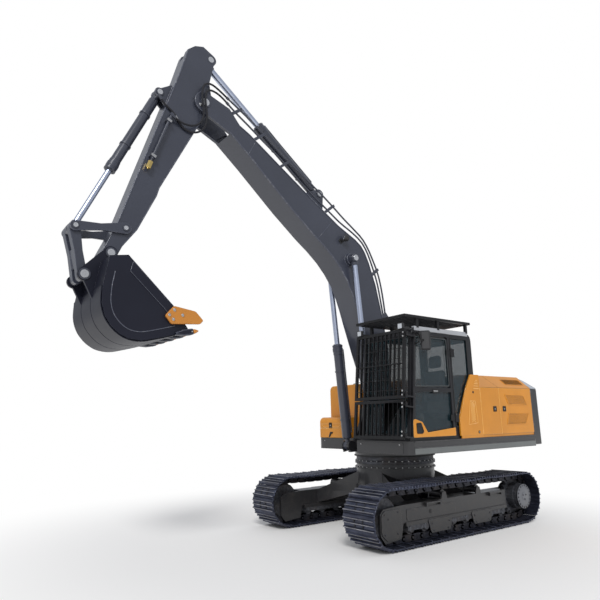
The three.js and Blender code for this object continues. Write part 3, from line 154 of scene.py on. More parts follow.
class Shade:
    """The node tree of one material."""

    def __init__(self, name: str) -> None:
        """Start an empty tree with its output.

        Args:
            name: Name of the material.
        """
        self.material = bpy.data.materials.new(name)
        self.material.use_nodes = True
        self.tree = self.material.node_tree
        self.tree.nodes.clear()
        self.output = self.tree.nodes.new("ShaderNodeOutputMaterial")
        self.places = self.add("ShaderNodeTexCoord", {}, {}, "Object")

    def add(self, kind: str, settings: dict, sockets: dict, out: str | int = 0) -> Wire:
        """Add any node.

        Args:
            kind: Blender's type of the node.
            settings: Values set on the node before its sockets.
            sockets: Values or wires by socket name or number.
            out: The output wanted.

        Returns:
            The wire of that output.
        """
        node = self.tree.nodes.new(kind)
        for key, value in settings.items():
            setattr(node, key, value)
        for key, value in sockets.items():
            if isinstance(value, Wire):
                self.tree.links.new(value.socket, node.inputs[key])
            else:
                node.inputs[key].default_value = value
        return Wire(self, node.outputs[out])

    def noise(self, scale: float, detail: float = 3.0, rough: float = 0.55,
              stretch: Colour = (1.0, 1.0, 1.0)) -> Wire:
        """Cloudy noise over the piece, about 0.5 on average.

        Args:
            scale: How fine it is, per metre.
            detail: Octaves.
            rough: Weight of the finer octaves.
            stretch: Factor on each axis, above 1 for finer.

        Returns:
            The noise value.
        """
        place = self.places
        if stretch != (1.0, 1.0, 1.0):
            place = self.add("ShaderNodeMapping", {}, {"Vector": place, "Scale": stretch})
        sockets = {"Vector": place, "Scale": scale, "Detail": detail, "Roughness": rough}
        return self.add("ShaderNodeTexNoise", {}, sockets, "Fac")

    def cells(self, scale: float) -> Wire:
        """Distance to the nearest of scattered points, for pits and grain."""
        sockets = {"Vector": self.places, "Scale": scale}
        return self.add("ShaderNodeTexVoronoi", {}, sockets, "Distance")

    def axis(self, name: str) -> Wire:
        """One coordinate of the piece: X, Y or Z, in metres."""
        return self.add("ShaderNodeSeparateXYZ", {}, {0: self.places}, name)

    def facing_up(self) -> Wire:
        """How far the surface looks up, from -1 to 1."""
        normal = self.add("ShaderNodeNewGeometry", {}, {}, "Normal")
        return self.add("ShaderNodeSeparateXYZ", {}, {0: normal}, "Z")

    def mix(self, factor: Any, first: Any, second: Any) -> Wire:
        """Blend of two colours."""
        sockets = self.opaque({0: factor, 6: first, 7: second})
        return self.add("ShaderNodeMix", {"data_type": "RGBA"}, sockets, 2)

    def bump(self, height: Wire, strength: float, depth: float) -> Wire:
        """Normal tilted by a height.

        Args:
            height: Height from 0 to 1.
            strength: Weight from 0 to 1.
            depth: Height in metres that 1 stands for.

        Returns:
            The normal.
        """
        sockets = {"Strength": strength, "Distance": depth, "Height": height}
        return self.add("ShaderNodeBump", {}, sockets, "Normal")

    @staticmethod
    def opaque(sockets: dict) -> dict:
        """The same socket values, with an alpha of 1 put on plain colours."""
        return {key: (*value, 1.0) if isinstance(value, tuple) else value
                for key, value in sockets.items()}

    def surface(self, sockets: dict) -> Wire:
        """Principled surface with the given sockets."""
        return self.add("ShaderNodeBsdfPrincipled", {}, self.opaque(sockets))

    def close(self, surface: Wire) -> bpy.types.Material:
        """Join a surface to the output and hand over the material."""
        self.tree.links.new(surface.socket, self.output.inputs["Surface"])
        return self.material

    def finish(self, sockets: dict) -> bpy.types.Material:
        """Close the tree with one principled surface."""
        return self.close(self.surface(sockets))


# ------------------------------------------------------------------ finishes


@dataclass(frozen=True)
class Paint:
    """Sprayed enamel with orange peel, uneven dust and spots of wear."""

    name: str
    colour: Colour
    under: Colour = (0.20, 0.19, 0.18)
    dust: Colour = (0.30, 0.25, 0.19)
    roughness: float = 0.32
    coat: float = 0.35
    dust_amount: float = 0.25
    wear: float = 0.0
    metallic: float = 0.0
    shine: float = 0.5

    def material(self) -> bpy.types.Material:
        """Colour = paint, darker and lighter in broad clouds, then chips of the bare metal where
        fine and broad noise agree, then dust that thickens on faces that look up and low on the
        machine. Roughness follows dust and clouds; the bump is orange peel."""
        shade = Shade(self.name)
        clouds = shade.noise(1.7, 4.0)
        streaks = shade.noise(9.0, 3.0, 0.6, (1.0, 1.0, 0.45))
        fine = shade.noise(70.0, 4.0, 0.65)
        tone = (clouds * 0.85 + streaks * 0.15).rise(0.3, 0.7)
        low = tuple(c * 0.92 for c in self.colour)
        high = tuple(min(1.0, c * 1.07) for c in self.colour)
        painted = shade.mix(tone, low, high)
        edge = 0.70 - self.wear * 0.14
        chip = (clouds * 0.45 + fine * 0.55).rise(edge, edge + 0.04)
        bare = shade.mix(chip * min(1.0, self.wear + 0.15), painted, self.under)
        upward = shade.facing_up().rise(0.2, 0.95)
        foot = shade.axis("Z").rise(1.7, 0.2)
        cover = (upward * 0.55 + foot * 0.5) * fine.rise(0.35, 0.75) * streaks.rise(0.3, 0.75)
        dusted = shade.mix((cover * self.dust_amount * 2.0).least(0.85), bare, self.dust)
        rough = (cover * 0.35 + clouds * 0.12 + (self.roughness - 0.06)).least(0.9)
        peel = shade.bump(shade.noise(260.0, 1.0), 0.10, 0.0008)
        return shade.finish({
            "Base Color": dusted, "Roughness": rough, "Metallic": self.metallic,
            "Specular IOR Level": self.shine,
            "Coat Weight": self.coat, "Coat Roughness": 0.12, "Normal": peel,
        })


@dataclass(frozen=True)
class RubbedEdge:
    """The rounded edge of a painted plate, rubbed thinner than its faces, and painted lighter than
    them all along as a painted highlight.
    """

    name: str
    colour: Colour
    rubbed: Colour
    amount: float = 0.5
    metallic: float = 0.0

    def material(self) -> bpy.types.Material:
        """Colour = the edge paint, lighter than the faces as a painted highlight, patched with the
        rubbed colour where broad noise is high; the patches are wear.
        """
        shade = Shade(self.name)
        patches = shade.noise(14.0, 5.0, 0.7)
        mask = patches.rise(0.62 - 0.25 * self.amount, 0.70 - 0.2 * self.amount)
        rough = mask * 0.12 + 0.34
        return shade.finish({
            "Base Color": shade.mix(mask, self.colour, self.rubbed), "Roughness": rough,
            "Metallic": mask * self.metallic, "Coat Weight": 0.2, "Coat Roughness": 0.15,
            "Normal": shade.bump(patches, 0.2, 0.001),
        })


@dataclass(frozen=True)
class Steel:
    """Rolled or cast steel: mill scale, rubbed bright patches, and earth in the hollows."""

    name: str
    colour: Colour
    bright: Colour
    earth: Colour = (0.07, 0.052, 0.038)
    metallic: float = 0.85
    roughness: float = 0.42
    earth_amount: float = 0.4
    grain: float = 160.0
    depth: float = 0.0006

    def material(self) -> bpy.types.Material:
        """Colour = scale mixed with bright metal where streaky noise is high, then earth where
        broad noise is low; earth is rough and not metallic. The bump is a cast grain."""
        shade = Shade(self.name)
        broad = shade.noise(4.0, 4.0)
        rub = shade.noise(26.0, 4.0, 0.6, (1.0, 0.25, 1.0))
        grain = shade.noise(self.grain, 3.0, 0.6)
        metal = shade.mix((rub * 0.7 + grain * 0.3).rise(0.42, 0.66), self.colour, self.bright)
        soil = (broad * 0.6 + grain * 0.4).rise(0.52, 0.36) * self.earth_amount
        return shade.finish({
            "Base Color": shade.mix(soil, metal, self.earth),
            "Metallic": (1 - soil) * self.metallic,
            "Roughness": (soil * 0.4 + grain * 0.2 + (self.roughness - 0.1)).least(0.95),
            "Normal": shade.bump(grain * 0.7 + broad * 0.3, 0.35, self.depth),
        })


@dataclass(frozen=True)
class Polished:
    """Hard chrome, zinc or brass: turned metal with faint rings and films of oil."""

    name: str
    colour: Colour
    roughness: float = 0.14
    film: float = 0.1

    def material(self) -> bpy.types.Material:
        """Colour = metal, dulled by films where broad noise is high."""
        shade = Shade(self.name)
        film = shade.noise(7.0, 4.0).rise(0.5, 0.75)
        rings = shade.noise(320.0, 2.0)
        dull = tuple(c * 0.78 for c in self.colour)
        return shade.finish({
            "Base Color": shade.mix(film * 0.6, self.colour, dull), "Metallic": 1.0,
            "Roughness": film * self.film + rings * 0.02 + self.roughness,
            "Normal": shade.bump(film, 0.10, 0.0002),
        })


@dataclass(frozen=True)
class Rubber:
    """Moulded or extruded rubber and hard plastic: dull, with a fine grain and pale scuffs."""

    name: str
    colour: Colour
    scuff: Colour = (0.09, 0.085, 0.08)
    roughness: float = 0.55
    grain: float = 420.0
    depth: float = 0.0005

    def material(self) -> bpy.types.Material:
        """Colour = rubber with scuffs where broad and fine noise agree; the bump is its grain."""
        shade = Shade(self.name)
        broad = shade.noise(11.0, 4.0)
        grain = shade.cells(self.grain)
        scuffed = (broad * 0.7 + shade.noise(90.0, 2.0) * 0.3).rise(0.55, 0.8)
        return shade.finish({
            "Base Color": shade.mix(scuffed * 0.5, self.colour, self.scuff),
            "Roughness": scuffed * 0.15 + self.roughness,
            "Normal": shade.bump(grain, 0.25, self.depth),
        })


@dataclass(frozen=True)
class Weave:
    """Woven seat cloth: two sets of crossing threads, with a soft sheen."""

    name: str
    colour: Colour
    thread: Colour
    pitch: float = 0.0035

    def material(self) -> bpy.types.Material:
        """Height = the larger of two crossed sine ridges, with a third one up the back mixed in;
        colour follows the height and a broad fade."""
        shade = Shade(self.name)
        turns = 2 * math.pi / self.pitch
        ridge = [shade.axis(name).ribs(turns) for name in "XYZ"]
        height = ridge[0].most(ridge[1]) * 0.6 + ridge[2] * 0.4
        fade = shade.noise(6.0, 3.0) * 0.35
        return shade.finish({
            "Base Color": shade.mix(height * 0.6 + fade, self.colour, self.thread),
            "Roughness": 0.85, "Sheen Weight": 0.3,
            "Normal": shade.bump(height, 0.5, 0.0009),
        })


@dataclass(frozen=True)
class Glazing:
    """Tinted safety glass with a film of dust towards its edges."""

    name: str
    colour: Colour = (0.013, 0.030, 0.038)
    cover: float = 0.46

    def material(self) -> bpy.types.Material:
        """Alpha rises, and gloss falls, where broad noise leaves dust."""
        shade = Shade(self.name)
        film = shade.noise(3.0, 5.0, 0.65).rise(0.5, 0.8)
        shade.material.surface_render_method = "BLENDED"
        return shade.finish({
            "Base Color": shade.mix(film * 0.25, self.colour, (0.25, 0.25, 0.23)),
            "Alpha": film * 0.12 + self.cover, "Roughness": film * 0.10 + 0.02,
            "Specular IOR Level": 0.6, "Coat Weight": 0.6, "Coat Roughness": 0.02,
        })


@dataclass(frozen=True)
class Lamp:
    """The lens of a lamp or a small signal: pressed ribs under clear plastic."""

    name: str
    colour: Colour

    def material(self) -> bpy.types.Material:
        """Colour is lighter along vertical ribs of sine section: a painted highlight on each rib.
        """
        shade = Shade(self.name)
        ribs = shade.axis("Y").ribs(700.0)
        # Pale is the lens colour lightened, painted on the rib crests as their highlight.
        pale = tuple(min(1.0, c * 1.25 + 0.05) for c in self.colour)
        colour = shade.mix(ribs * 0.6 + shade.noise(30.0) * 0.2, self.colour, pale)
        return shade.finish({
            "Base Color": colour, "Roughness": 0.12, "Coat Weight": 0.8, "Coat Roughness": 0.03,
            "Normal": shade.bump(ribs, 0.4, 0.001),
        })


class Coat(Enum):
    """Every finish on the machine, each made once."""

    BODY = Paint("body_enamel", (0.60, 0.235, 0.018), dust_amount=0.06, roughness=0.32,
                 coat=0.22, shine=0.35)
    # BODY_EDGE and the other _EDGE finishes are lighter than their faces' paint: a painted
    # highlight along the bevelled edges, with rubbed patches of wear.
    BODY_EDGE = RubbedEdge("body_enamel_edge", (0.74, 0.38, 0.085), (0.80, 0.48, 0.18), 0.35)
    SLATE = Paint("attachment_enamel", (0.036, 0.040, 0.057), dust_amount=0.03, roughness=0.34,
                  coat=0.3, wear=0.1)
    # Painted highlight for the slate edges, with rubbed wear.
    SLATE_EDGE = RubbedEdge("attachment_enamel_edge", (0.060, 0.066, 0.092), (0.17, 0.175, 0.20),
                            0.4, 0.5)
    BUCKET = Paint("bucket_enamel", (0.010, 0.011, 0.020), under=(0.10, 0.095, 0.10),
                   dust_amount=0.03, roughness=0.45, coat=0.04, wear=0.25, shine=0.22)
    FRAME = Paint("frame_enamel", (0.014, 0.014, 0.016), dust_amount=0.10, roughness=0.40, wear=0.2)
    # Painted highlight for the frame edges, with rubbed wear.
    FRAME_EDGE = RubbedEdge("frame_enamel_edge", (0.055, 0.055, 0.060), (0.16, 0.155, 0.15),
                            0.5, 0.4)
    CAB = Paint("cab_enamel", (0.009, 0.009, 0.011), dust_amount=0.05, roughness=0.38, coat=0.1,
                shine=0.35)
    # Painted highlight for the cab edges, with rubbed wear.
    CAB_EDGE = RubbedEdge("cab_enamel_edge", (0.030, 0.030, 0.034), (0.09, 0.09, 0.095), 0.3)
    GUARD = Paint("guard_enamel", (0.006, 0.006, 0.007), dust_amount=0.05, roughness=0.48,
                  coat=0.05, wear=0.1, shine=0.3)
    SILVER_GREY = Paint("flange_enamel", (0.105, 0.115, 0.115), dust_amount=0.3, roughness=0.40,
                        wear=0.1)
    TAIL = Paint("tail_enamel", (0.40, 0.43, 0.48), dust_amount=0.05, roughness=0.30, coat=0.4)
    DRIVE = Paint("drive_enamel", (0.115, 0.120, 0.135), dust_amount=0.10, roughness=0.42, wear=0.1)
    SILVER = Paint("silver_enamel", (0.42, 0.43, 0.45), dust_amount=0.3, roughness=0.35,
                   metallic=0.3)
    TRACK = Steel("shoe_steel", (0.045, 0.050, 0.075), (0.085, 0.095, 0.14), roughness=0.36,
                  earth_amount=0.25, depth=0.0001)
    LINK = Steel("link_steel", (0.024, 0.025, 0.032), (0.060, 0.062, 0.075), earth_amount=0.4,
                 depth=0.0002)
    CAST = Steel("cast_steel", (0.050, 0.052, 0.060), (0.11, 0.115, 0.13), metallic=0.6,
                 roughness=0.5, earth_amount=0.5, grain=90.0)
    # Bar crests: rubbed steel, made much lighter than the shoes as a painted highlight on the bar
    # edges.
    WORN = Steel("rubbed_lit_steel", (0.19, 0.19, 0.21), (0.42, 0.42, 0.45), roughness=0.30,
                 earth_amount=0.3)
    TOOTH = Paint("tooth_enamel", (0.50, 0.19, 0.022), under=(0.28, 0.27, 0.27), dust_amount=0.3,
                  wear=0.55, coat=0.1, roughness=0.45)
    CHROME = Polished("hard_chrome", (0.50, 0.55, 0.68), 0.32)
    ZINC = Polished("zinc_plate", (0.50, 0.50, 0.50), 0.30, 0.2)
    BRASS = Polished("brass", (0.62, 0.46, 0.17), 0.26, 0.2)
    HOSE = Rubber("hose_rubber", (0.012, 0.012, 0.014), roughness=0.42)
    SEAL = Rubber("window_seal", (0.008, 0.008, 0.009), roughness=0.6)
    TRIM = Rubber("moulded_trim", (0.020, 0.020, 0.022), grain=620.0)
    LINING = Rubber("cab_lining", (0.055, 0.056, 0.060), roughness=0.7, grain=300.0)
    CLOTH = Weave("seat_weave", (0.030, 0.032, 0.040), (0.110, 0.115, 0.130))
    GLASS = Glazing("cab_glazing")
    MIRROR = Polished("mirror_silver", (0.75, 0.77, 0.80), 0.02, 0.03)
    LENS = Lamp("lamp_lens", (0.42, 0.44, 0.47))
    AMBER = Lamp("amber_lens", (0.75, 0.25, 0.02))
    RED = Lamp("red_lens", (0.45, 0.02, 0.015))
    MESH = Rubber("black_mesh", (0.006, 0.006, 0.006), roughness=0.7, grain=200.0, depth=0.002)

    @property
    def material(self) -> bpy.types.Material:
        """The finish's material, made on first use."""
        found = bpy.data.materials.get(self.value.name)
        return found or self.value.material()


# Bevels get the lighter edge finish: a painted highlight on the edges, with rubbed wear.
EDGE_OF = {Coat.BODY: Coat.BODY_EDGE, Coat.SLATE: Coat.SLATE_EDGE, Coat.BUCKET: Coat.SLATE_EDGE,
           Coat.FRAME: Coat.FRAME_EDGE, Coat.CAB: Coat.CAB_EDGE}
SLOT_OF = {
    Coat.BODY: "body_paint", Coat.SLATE: "attachment_paint", Coat.BUCKET: "attachment_paint",
    Coat.FRAME: "frame_paint", Coat.SILVER_GREY: "frame_paint", Coat.CAB: "cab_paint",
    Coat.GUARD: "cab_paint",
    Coat.TRACK: "track_steel", Coat.LINK: "track_steel", Coat.CAST: "cast_iron",
    Coat.CHROME: "rod_chrome", Coat.HOSE: "hose_rubber", Coat.CLOTH: "seat_fabric",
    Coat.LINING: "interior_plastic", Coat.TRIM: "interior_plastic", Coat.GLASS: "cab_glass",
}


# ------------------------------------------------------------------ shapes


@dataclass(frozen=True)
class Seat:
    """A place and turn: local x, y and z become the three given directions at the origin."""

    origin: Colour = (0.0, 0.0, 0.0)
    x: Colour = (1.0, 0.0, 0.0)
    z: Colour = (0.0, 0.0, 1.0)

    def matrix(self) -> Array:
        """Four-by-four matrix; y = z cross x, with x made square to z."""
        z = np.array(self.z, float) / np.linalg.norm(self.z)
        x = np.array(self.x, float)
        if abs(x @ z) > 0.99 * np.linalg.norm(x):
            x = np.array((0.0, 1.0, 0.0)) if abs(z[0]) > 0.9 else np.array((1.0, 0.0, 0.0))
        x = x - (x @ z) * z
        x /= np.linalg.norm(x)
        out = np.eye(4)
        out[:3, 0], out[:3, 1], out[:3, 2], out[:3, 3] = x, np.cross(z, x), z, self.origin
        return out


@dataclass(frozen=True)
class Side:
    """A side view of a link of the front: s runs along it, y across, n up from it."""

    joint: str
    degrees: float

    def matrix(self) -> Array:
        """Columns are the s, y and n directions and the joint's place."""
        turn = math.radians(self.degrees)
        out = np.eye(4)
        out[:3, 0] = (math.cos(turn), 0.0, math.sin(turn))
        out[:3, 2] = (-math.sin(turn), 0.0, math.cos(turn))
        out[:3, 3] = JOINTS[self.joint]["pos_m"]
        return out

    def point(self, s: float, y: float, n: float) -> Colour:
        """Place in the common frame of a point of this view."""
        return tuple(float(v) for v in (self.matrix() @ np.array((s, y, n, 1.0)))[:3])

    def seat(self, s: float, y: float, n: float, z: Colour = (0.0, 1.0, 0.0)) -> Seat:
        """Seat at a point of this view whose z looks along a local direction."""
        turn = self.matrix()[:3, :3]
        return Seat(self.point(s, y, n), tuple(turn[:, 0]), tuple(turn @ np.array(z, float)))


BOOM = Side("boom", 51.0)
ARM = Side("arm", -63.6)
BUCKET = Side("bucket", -136.4)


def here(x: float, y: float, z: float) -> Colour:
    """Place in the common frame of a point of the machine's own frame."""
    return (x + SWING, y, z)


def moved(shell: Shell, matrix: Array) -> Shell:
    """Shell carried by one matrix."""
    points = np.asarray(shell[0], float)
    return points @ matrix[:3, :3].T + matrix[:3, 3], shell[1]


def joined(shells: Sequence[Shell]) -> Shell:
    """Several shells as one list of points and faces."""
    counts = np.cumsum([0] + [len(shell[0]) for shell in shells])
    faces = [[int(k + start) for k in face] for shell, start in zip(shells, counts)
             for face in shell[1]]
    return np.concatenate([shell[0] for shell in shells]), faces


def mirrored(shell: Shell) -> Shell:
    """Shell mirrored across y, its faces turned to look out again."""
    return np.asarray(shell[0]) * (1, -1, 1), [face[::-1] for face in shell[1]]


def scattered(shell: Shell, matrices: Array) -> Shell:
    """Copies of a shell.

    Args:
        shell: The shape.
        matrices: One four-by-four matrix for each copy.

    Returns:
        All copies as one shell: point = turn times local point, plus place.
    """
    matrices = np.asarray(matrices, float)
    points = np.einsum("kij,nj->kni", matrices[:, :3, :3], np.asarray(shell[0], float))
    points += matrices[:, None, :3, 3]
    count = len(shell[0])
    faces = [[k + turn * count for k in face] for turn in range(len(matrices)) for face in shell[1]]
    return points.reshape(-1, 3), faces


def loft(rings: Array, closed: bool = False) -> Shell:
    """Skin over rings of equal count.

    Args:
        rings: Points, as rings by points by 3; each ring turns anticlockwise about the way on.
        closed: True where the last ring meets the first.

    Returns:
        Four-sided faces between neighbours, and a face over each open end.
    """
    turns, count = rings.shape[:2]
    ring = np.arange(turns if closed else turns - 1)[:, None]
    k = np.arange(count)[None, :]
    a = ring * count + k
    b = ring * count + (k + 1) % count
    c = ((ring + 1) % turns) * count + (k + 1) % count
    d = ((ring + 1) % turns) * count + k
    faces = np.stack([a, b, c, d], -1).reshape(-1, 4).tolist()
    if not closed:
        faces.append(list(range(count))[::-1])
        faces.append([(turns - 1) * count + k for k in range(count)])
    return rings.reshape(-1, 3), faces


def inset(outline: Array, amount: float) -> Array:
    """Polygon drawn in by a distance: each corner moves along the sum of its sides' inward
    normals, divided by one plus their dot product."""
    before = outline - np.roll(outline, 1, 0)
    after = np.roll(outline, -1, 0) - outline
    before = before / np.linalg.norm(before, axis=1)[:, None]
    after = after / np.linalg.norm(after, axis=1)[:, None]
    inward = np.stack([-before[:, 1], before[:, 0]], 1), np.stack([-after[:, 1], after[:, 0]], 1)
    share = 1 + np.sum(inward[0] * inward[1], 1)
    return outline + amount * (inward[0] + inward[1]) / np.maximum(share, 0.3)[:, None]


def anticlockwise(outline: Sequence[Sequence[float]]) -> Array:
    """Outline turned anticlockwise, by the sign of its area."""
    points = np.asarray(outline, float)
    nxt = np.roll(points, -1, 0)
    area = np.sum(points[:, 0] * nxt[:, 1] - nxt[:, 0] * points[:, 1])
    return points if area > 0 else points[::-1]


def prism(outline: Sequence[Sequence[float]], low: float, high: float,
          chamfer: float = 0.0) -> Shell:
    """Flat outline given a thickness along z.

    Args:
        outline: Corners in x and y.
        low: Lower z.
        high: Upper z.
        chamfer: Width of the chamfer round both ends.

    Returns:
        Rings of the outline, drawn in by the chamfer at the ends.
    """
    points = anticlockwise(outline)
    levels = [(low, 0.0), (high, 0.0)]
    if chamfer:
        levels = [(low, chamfer), (low + chamfer, 0.0), (high - chamfer, 0.0), (high, chamfer)]
    rings = [np.column_stack([inset(points, draw) if draw else points, np.full(len(points), z)])
             for z, draw in levels]
    return loft(np.array(rings))


def block(low: Sequence[float], high: Sequence[float], chamfer: float = 0.003) -> Shell:
    """Chamfered brick between two corners."""
    cut = min(chamfer, 0.3 * min(b - a for a, b in zip(low, high)))
    (x0, y0, bottom), (x1, y1, top) = low, high
    outline = [(x0, y0 + cut), (x0 + cut, y0), (x1 - cut, y0), (x1, y0 + cut),
               (x1, y1 - cut), (x1 - cut, y1), (x0 + cut, y1), (x0, y1 - cut)]
    return prism(outline, bottom, top, cut)


def turned(section: Sequence[tuple[float, float]], sides: int, closed: bool = False) -> Shell:
    """Section turned about z: a point at height h and radius r becomes r cos, r sin, h."""
    turn = np.arange(sides) * 2 * np.pi / sides
    h, r = np.array(section, float).T[:, :, None]
    rings = np.stack([r * np.cos(turn), r * np.sin(turn), np.repeat(h, sides, 1)], -1)
    return loft(rings, closed)


def lathe(profile: Sequence[tuple[float, float]], sides: int = 40) -> Shell:
    """Turned shape with a flat face over each end, by height and radius from the bottom."""
    return turned(profile, sides)


def ring(inner: float, outer: float, low: float, high: float, sides: int = 40,
         chamfer: float = 0.002) -> Shell:
    """Washer or flange: a chamfered rectangle turned about z as one closed loop."""
    section = [(low, inner), (low, outer - chamfer), (low + chamfer, outer),
               (high - chamfer, outer), (high, outer - chamfer), (high, inner)]
    return turned(section, sides, closed=True)


def tube(path: Sequence[Sequence[float]], radius: float | Array, sides: int = 14) -> Shell:
    """Round bar along a path.

    Args:
        path: Points of the centre line.
        radius: One radius, or one for each point.
        sides: Points round.

    Returns:
        Rings square to the path; each ring's first direction is the last one's, made square to
        the path again, so that the skin doesn't twist.
    """
    points = np.asarray(path, float)
    along = np.gradient(points, axis=0)
    along /= np.linalg.norm(along, axis=1)[:, None]
    start = np.array((0.0, 1.0, 0.0)) if abs(along[0][1]) < 0.9 else np.array((0.0, 0.0, 1.0))
    sides_of = []
    for way in along:
        start = start - (start @ way) * way
        start = start / np.linalg.norm(start)
        sides_of.append(start)
    first = np.array(sides_of)
    second = np.cross(along, first)
    turn = np.arange(sides) * 2 * np.pi / sides
    reach = np.broadcast_to(np.asarray(radius, float), (len(points),))[:, None, None]
    round_it = (np.cos(turn)[None, :, None] * first[:, None, :]
                + np.sin(turn)[None, :, None] * second[:, None, :])
    return loft(points[:, None, :] + reach * round_it)


def smooth_path(points: Sequence[Sequence[float]], steps: int = 6) -> Array:
    """Catmull-Rom curve through points: each cubic leaves a point along the line between its
    neighbours."""
    p = np.asarray(points, float)
    p = np.concatenate([[2 * p[0] - p[1]], p, [2 * p[-1] - p[-2]]])
    t = np.linspace(0, 1, steps, endpoint=False)[None, :, None]
    a, b, c, d = (p[k:len(p) - 3 + k][:, None, :] for k in range(4))
    curve = 0.5 * (2 * b + (c - a) * t + (2 * a - 5 * b + 4 * c - d) * t ** 2
                   + (3 * b - a - 3 * c + d) * t ** 3)
    return np.concatenate([curve.reshape(-1, p.shape[1]), p[-2:-1]])


def rounded(outline: Sequence[Sequence[float]], radius: float, steps: int = 4) -> Array:
    """Polygon with its corners turned into quadratic curves that start a radius away."""
    p = anticlockwise(outline)
    before, after = np.roll(p, 1, 0) - p, np.roll(p, -1, 0) - p
    lb, la = np.linalg.norm(before, axis=1), np.linalg.norm(after, axis=1)
    cut = np.minimum(radius, 0.45 * np.minimum(lb, la))
    a = p + before * (cut / lb)[:, None]
    b = p + after * (cut / la)[:, None]
    t = np.linspace(0, 1, steps + 1)[None, :, None]
    curve = (1 - t) ** 2 * a[:, None] + 2 * t * (1 - t) * p[:, None] + t ** 2 * b[:, None]
    return curve.reshape(-1, 2)


def oblong(x0: float, y0: float, x1: float, y1: float, radius: float) -> Array:
    """Rounded rectangle between two corners."""
    return rounded([(x0, y0), (x1, y0), (x1, y1), (x0, y1)], radius)


def frame_of(outer: Array, inner: Array, low: float, high: float) -> Shell:
    """Flat frame between two outlines of equal count, as one closed loop of four-sided section."""
    stack = [np.column_stack([loop, np.full(len(loop), z)])
             for loop, z in ((inner, low), (outer, low), (outer, high), (inner, high))]
    return loft(np.array(stack), closed=True)


def bolt(across: float = 0.018, height: float = 0.012) -> Shell:
    """Hexagon bolt head on its washer, with a chamfered crown; z looks out."""
    washer = lathe([(-0.002, across * 0.72), (0.002, across * 0.72), (0.0026, across * 0.66)], 16)
    head = lathe([(0.0, across * 0.55), (height * 0.85, across * 0.55), (height, across * 0.44)], 6)
    return joined([washer, head])


def knuckle(length: float, radius: float = 0.016) -> Shell:
    """One knuckle of a pin hinge: a short barrel along z with drawn-in ends."""
    return lathe([(0.0, radius * 0.8), (0.002, radius), (length - 0.002, radius),
                  (length - 0.0005, radius * 0.8)], 16)


@dataclass
class Batch:
    """Closed shells gathered under one name, finish and body."""

    name: str
    coat: Coat
    body: str
    smooth: float = 32.0

    def __post_init__(self) -> None:
        """Start with no shells."""
        self.shells: list[Shell] = []

    def add(self, *shells: Shell) -> "Batch":
        """Gather more shells."""
        self.shells += shells
        return self

    def at(self, seat: Seat, *shells: Shell) -> "Batch":
        """Gather shells carried to a seat."""
        matrix = seat.matrix()
        return self.add(*(moved(shell, matrix) for shell in shells))

    def make(self, edge: float = 0.0, replaces: Sequence[str] = ()) -> bpy.types.Object:
        """Put the shells into one mesh, finish it and hang it on its body.

        Args:
            edge: Width of a live bevel on sharp edges, 0 for none.
            replaces: CAD nodes that the piece stands for.

        Returns:
            The finished piece.
        """
        points, faces = joined(self.shells)
        mesh = bpy.data.meshes.new(self.name)
        mesh.from_pydata(points.tolist(), [], faces)
        mesh.validate()
        mesh.shade_smooth()
        mesh.set_sharp_from_angle(angle=math.radians(self.smooth))
        piece = bpy.data.objects.new(self.name, mesh)
        bpy.context.scene.collection.objects.link(piece)
        mesh.materials.append(self.coat.material)
        if edge:
            softened(piece, edge, self.coat)
        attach(piece, self.body)
        self.coat in SLOT_OF
        if replaces:
            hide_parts(*replaces)
        LOG.info("%s: %d points, %d faces", self.name, len(points), len(faces))
        return piece


def softened(piece: bpy.types.Object, width: float, coat: Coat) -> None:
    """Give a piece rounded edges with a live bevel, in the lighter edge finish: a painted highlight
    with rubbed wear.

    Args:
        piece: The piece; its mesh is merged already.
        width: Width of the bevel.
        coat: Finish of the faces, whose edge finish goes on the bevel.
    """
    bevel = piece.modifiers.new("edges", "BEVEL")
    bevel.width = width
    bevel.segments = 2
    bevel.limit_method = "ANGLE"
    bevel.angle_limit = math.radians(34)
    bevel.use_clamp_overlap = True
    bevel.harden_normals = False
    if coat in EDGE_OF:
        piece.data.materials.append(EDGE_OF[coat].material)
        bevel.material = 1
    smooth = piece.modifiers.new("normals", "WEIGHTED_NORMAL")
    smooth.keep_sharp = True


def dressed(node: str, coat: Coat, width: float = 0.0) -> bpy.types.Object:
    """Give a CAD node its finish, and rounded edges where a width is given.

    Args:
        node: Name of the node.
        coat: Its finish.
        width: Width of the rounding; 0 keeps the node itself.

    Returns:
        The node, or the copy that stands for it.
    """
    source = frame["nodes"][node]
    if not width:
        source.data.materials.clear()
        source.data.materials.append(coat.material)
        return source
    mesh = bpy.data.meshes.new(node + "_skin")
    work = bmesh.new()
    work.from_mesh(source.data)
    bmesh.ops.remove_doubles(work, verts=work.verts, dist=2e-5)
    bmesh.ops.dissolve_limit(work, angle_limit=math.radians(0.6), verts=work.verts,
                             edges=work.edges)
    work.to_mesh(mesh)
    work.free()
    mesh.materials.clear()
    mesh.materials.append(coat.material)
    mesh.polygons.foreach_set("material_index", np.zeros(len(mesh.polygons), np.int32))
    mesh.shade_smooth()
    mesh.set_sharp_from_angle(angle=math.radians(28))
    piece = bpy.data.objects.new(node + "_skin", mesh)
    bpy.context.scene.collection.objects.link(piece)
    softened(piece, width, coat)
    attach(piece, BODY_OF[node])
    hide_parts(node)
    return piece


# ------------------------------------------------------------------ camera, floor and light


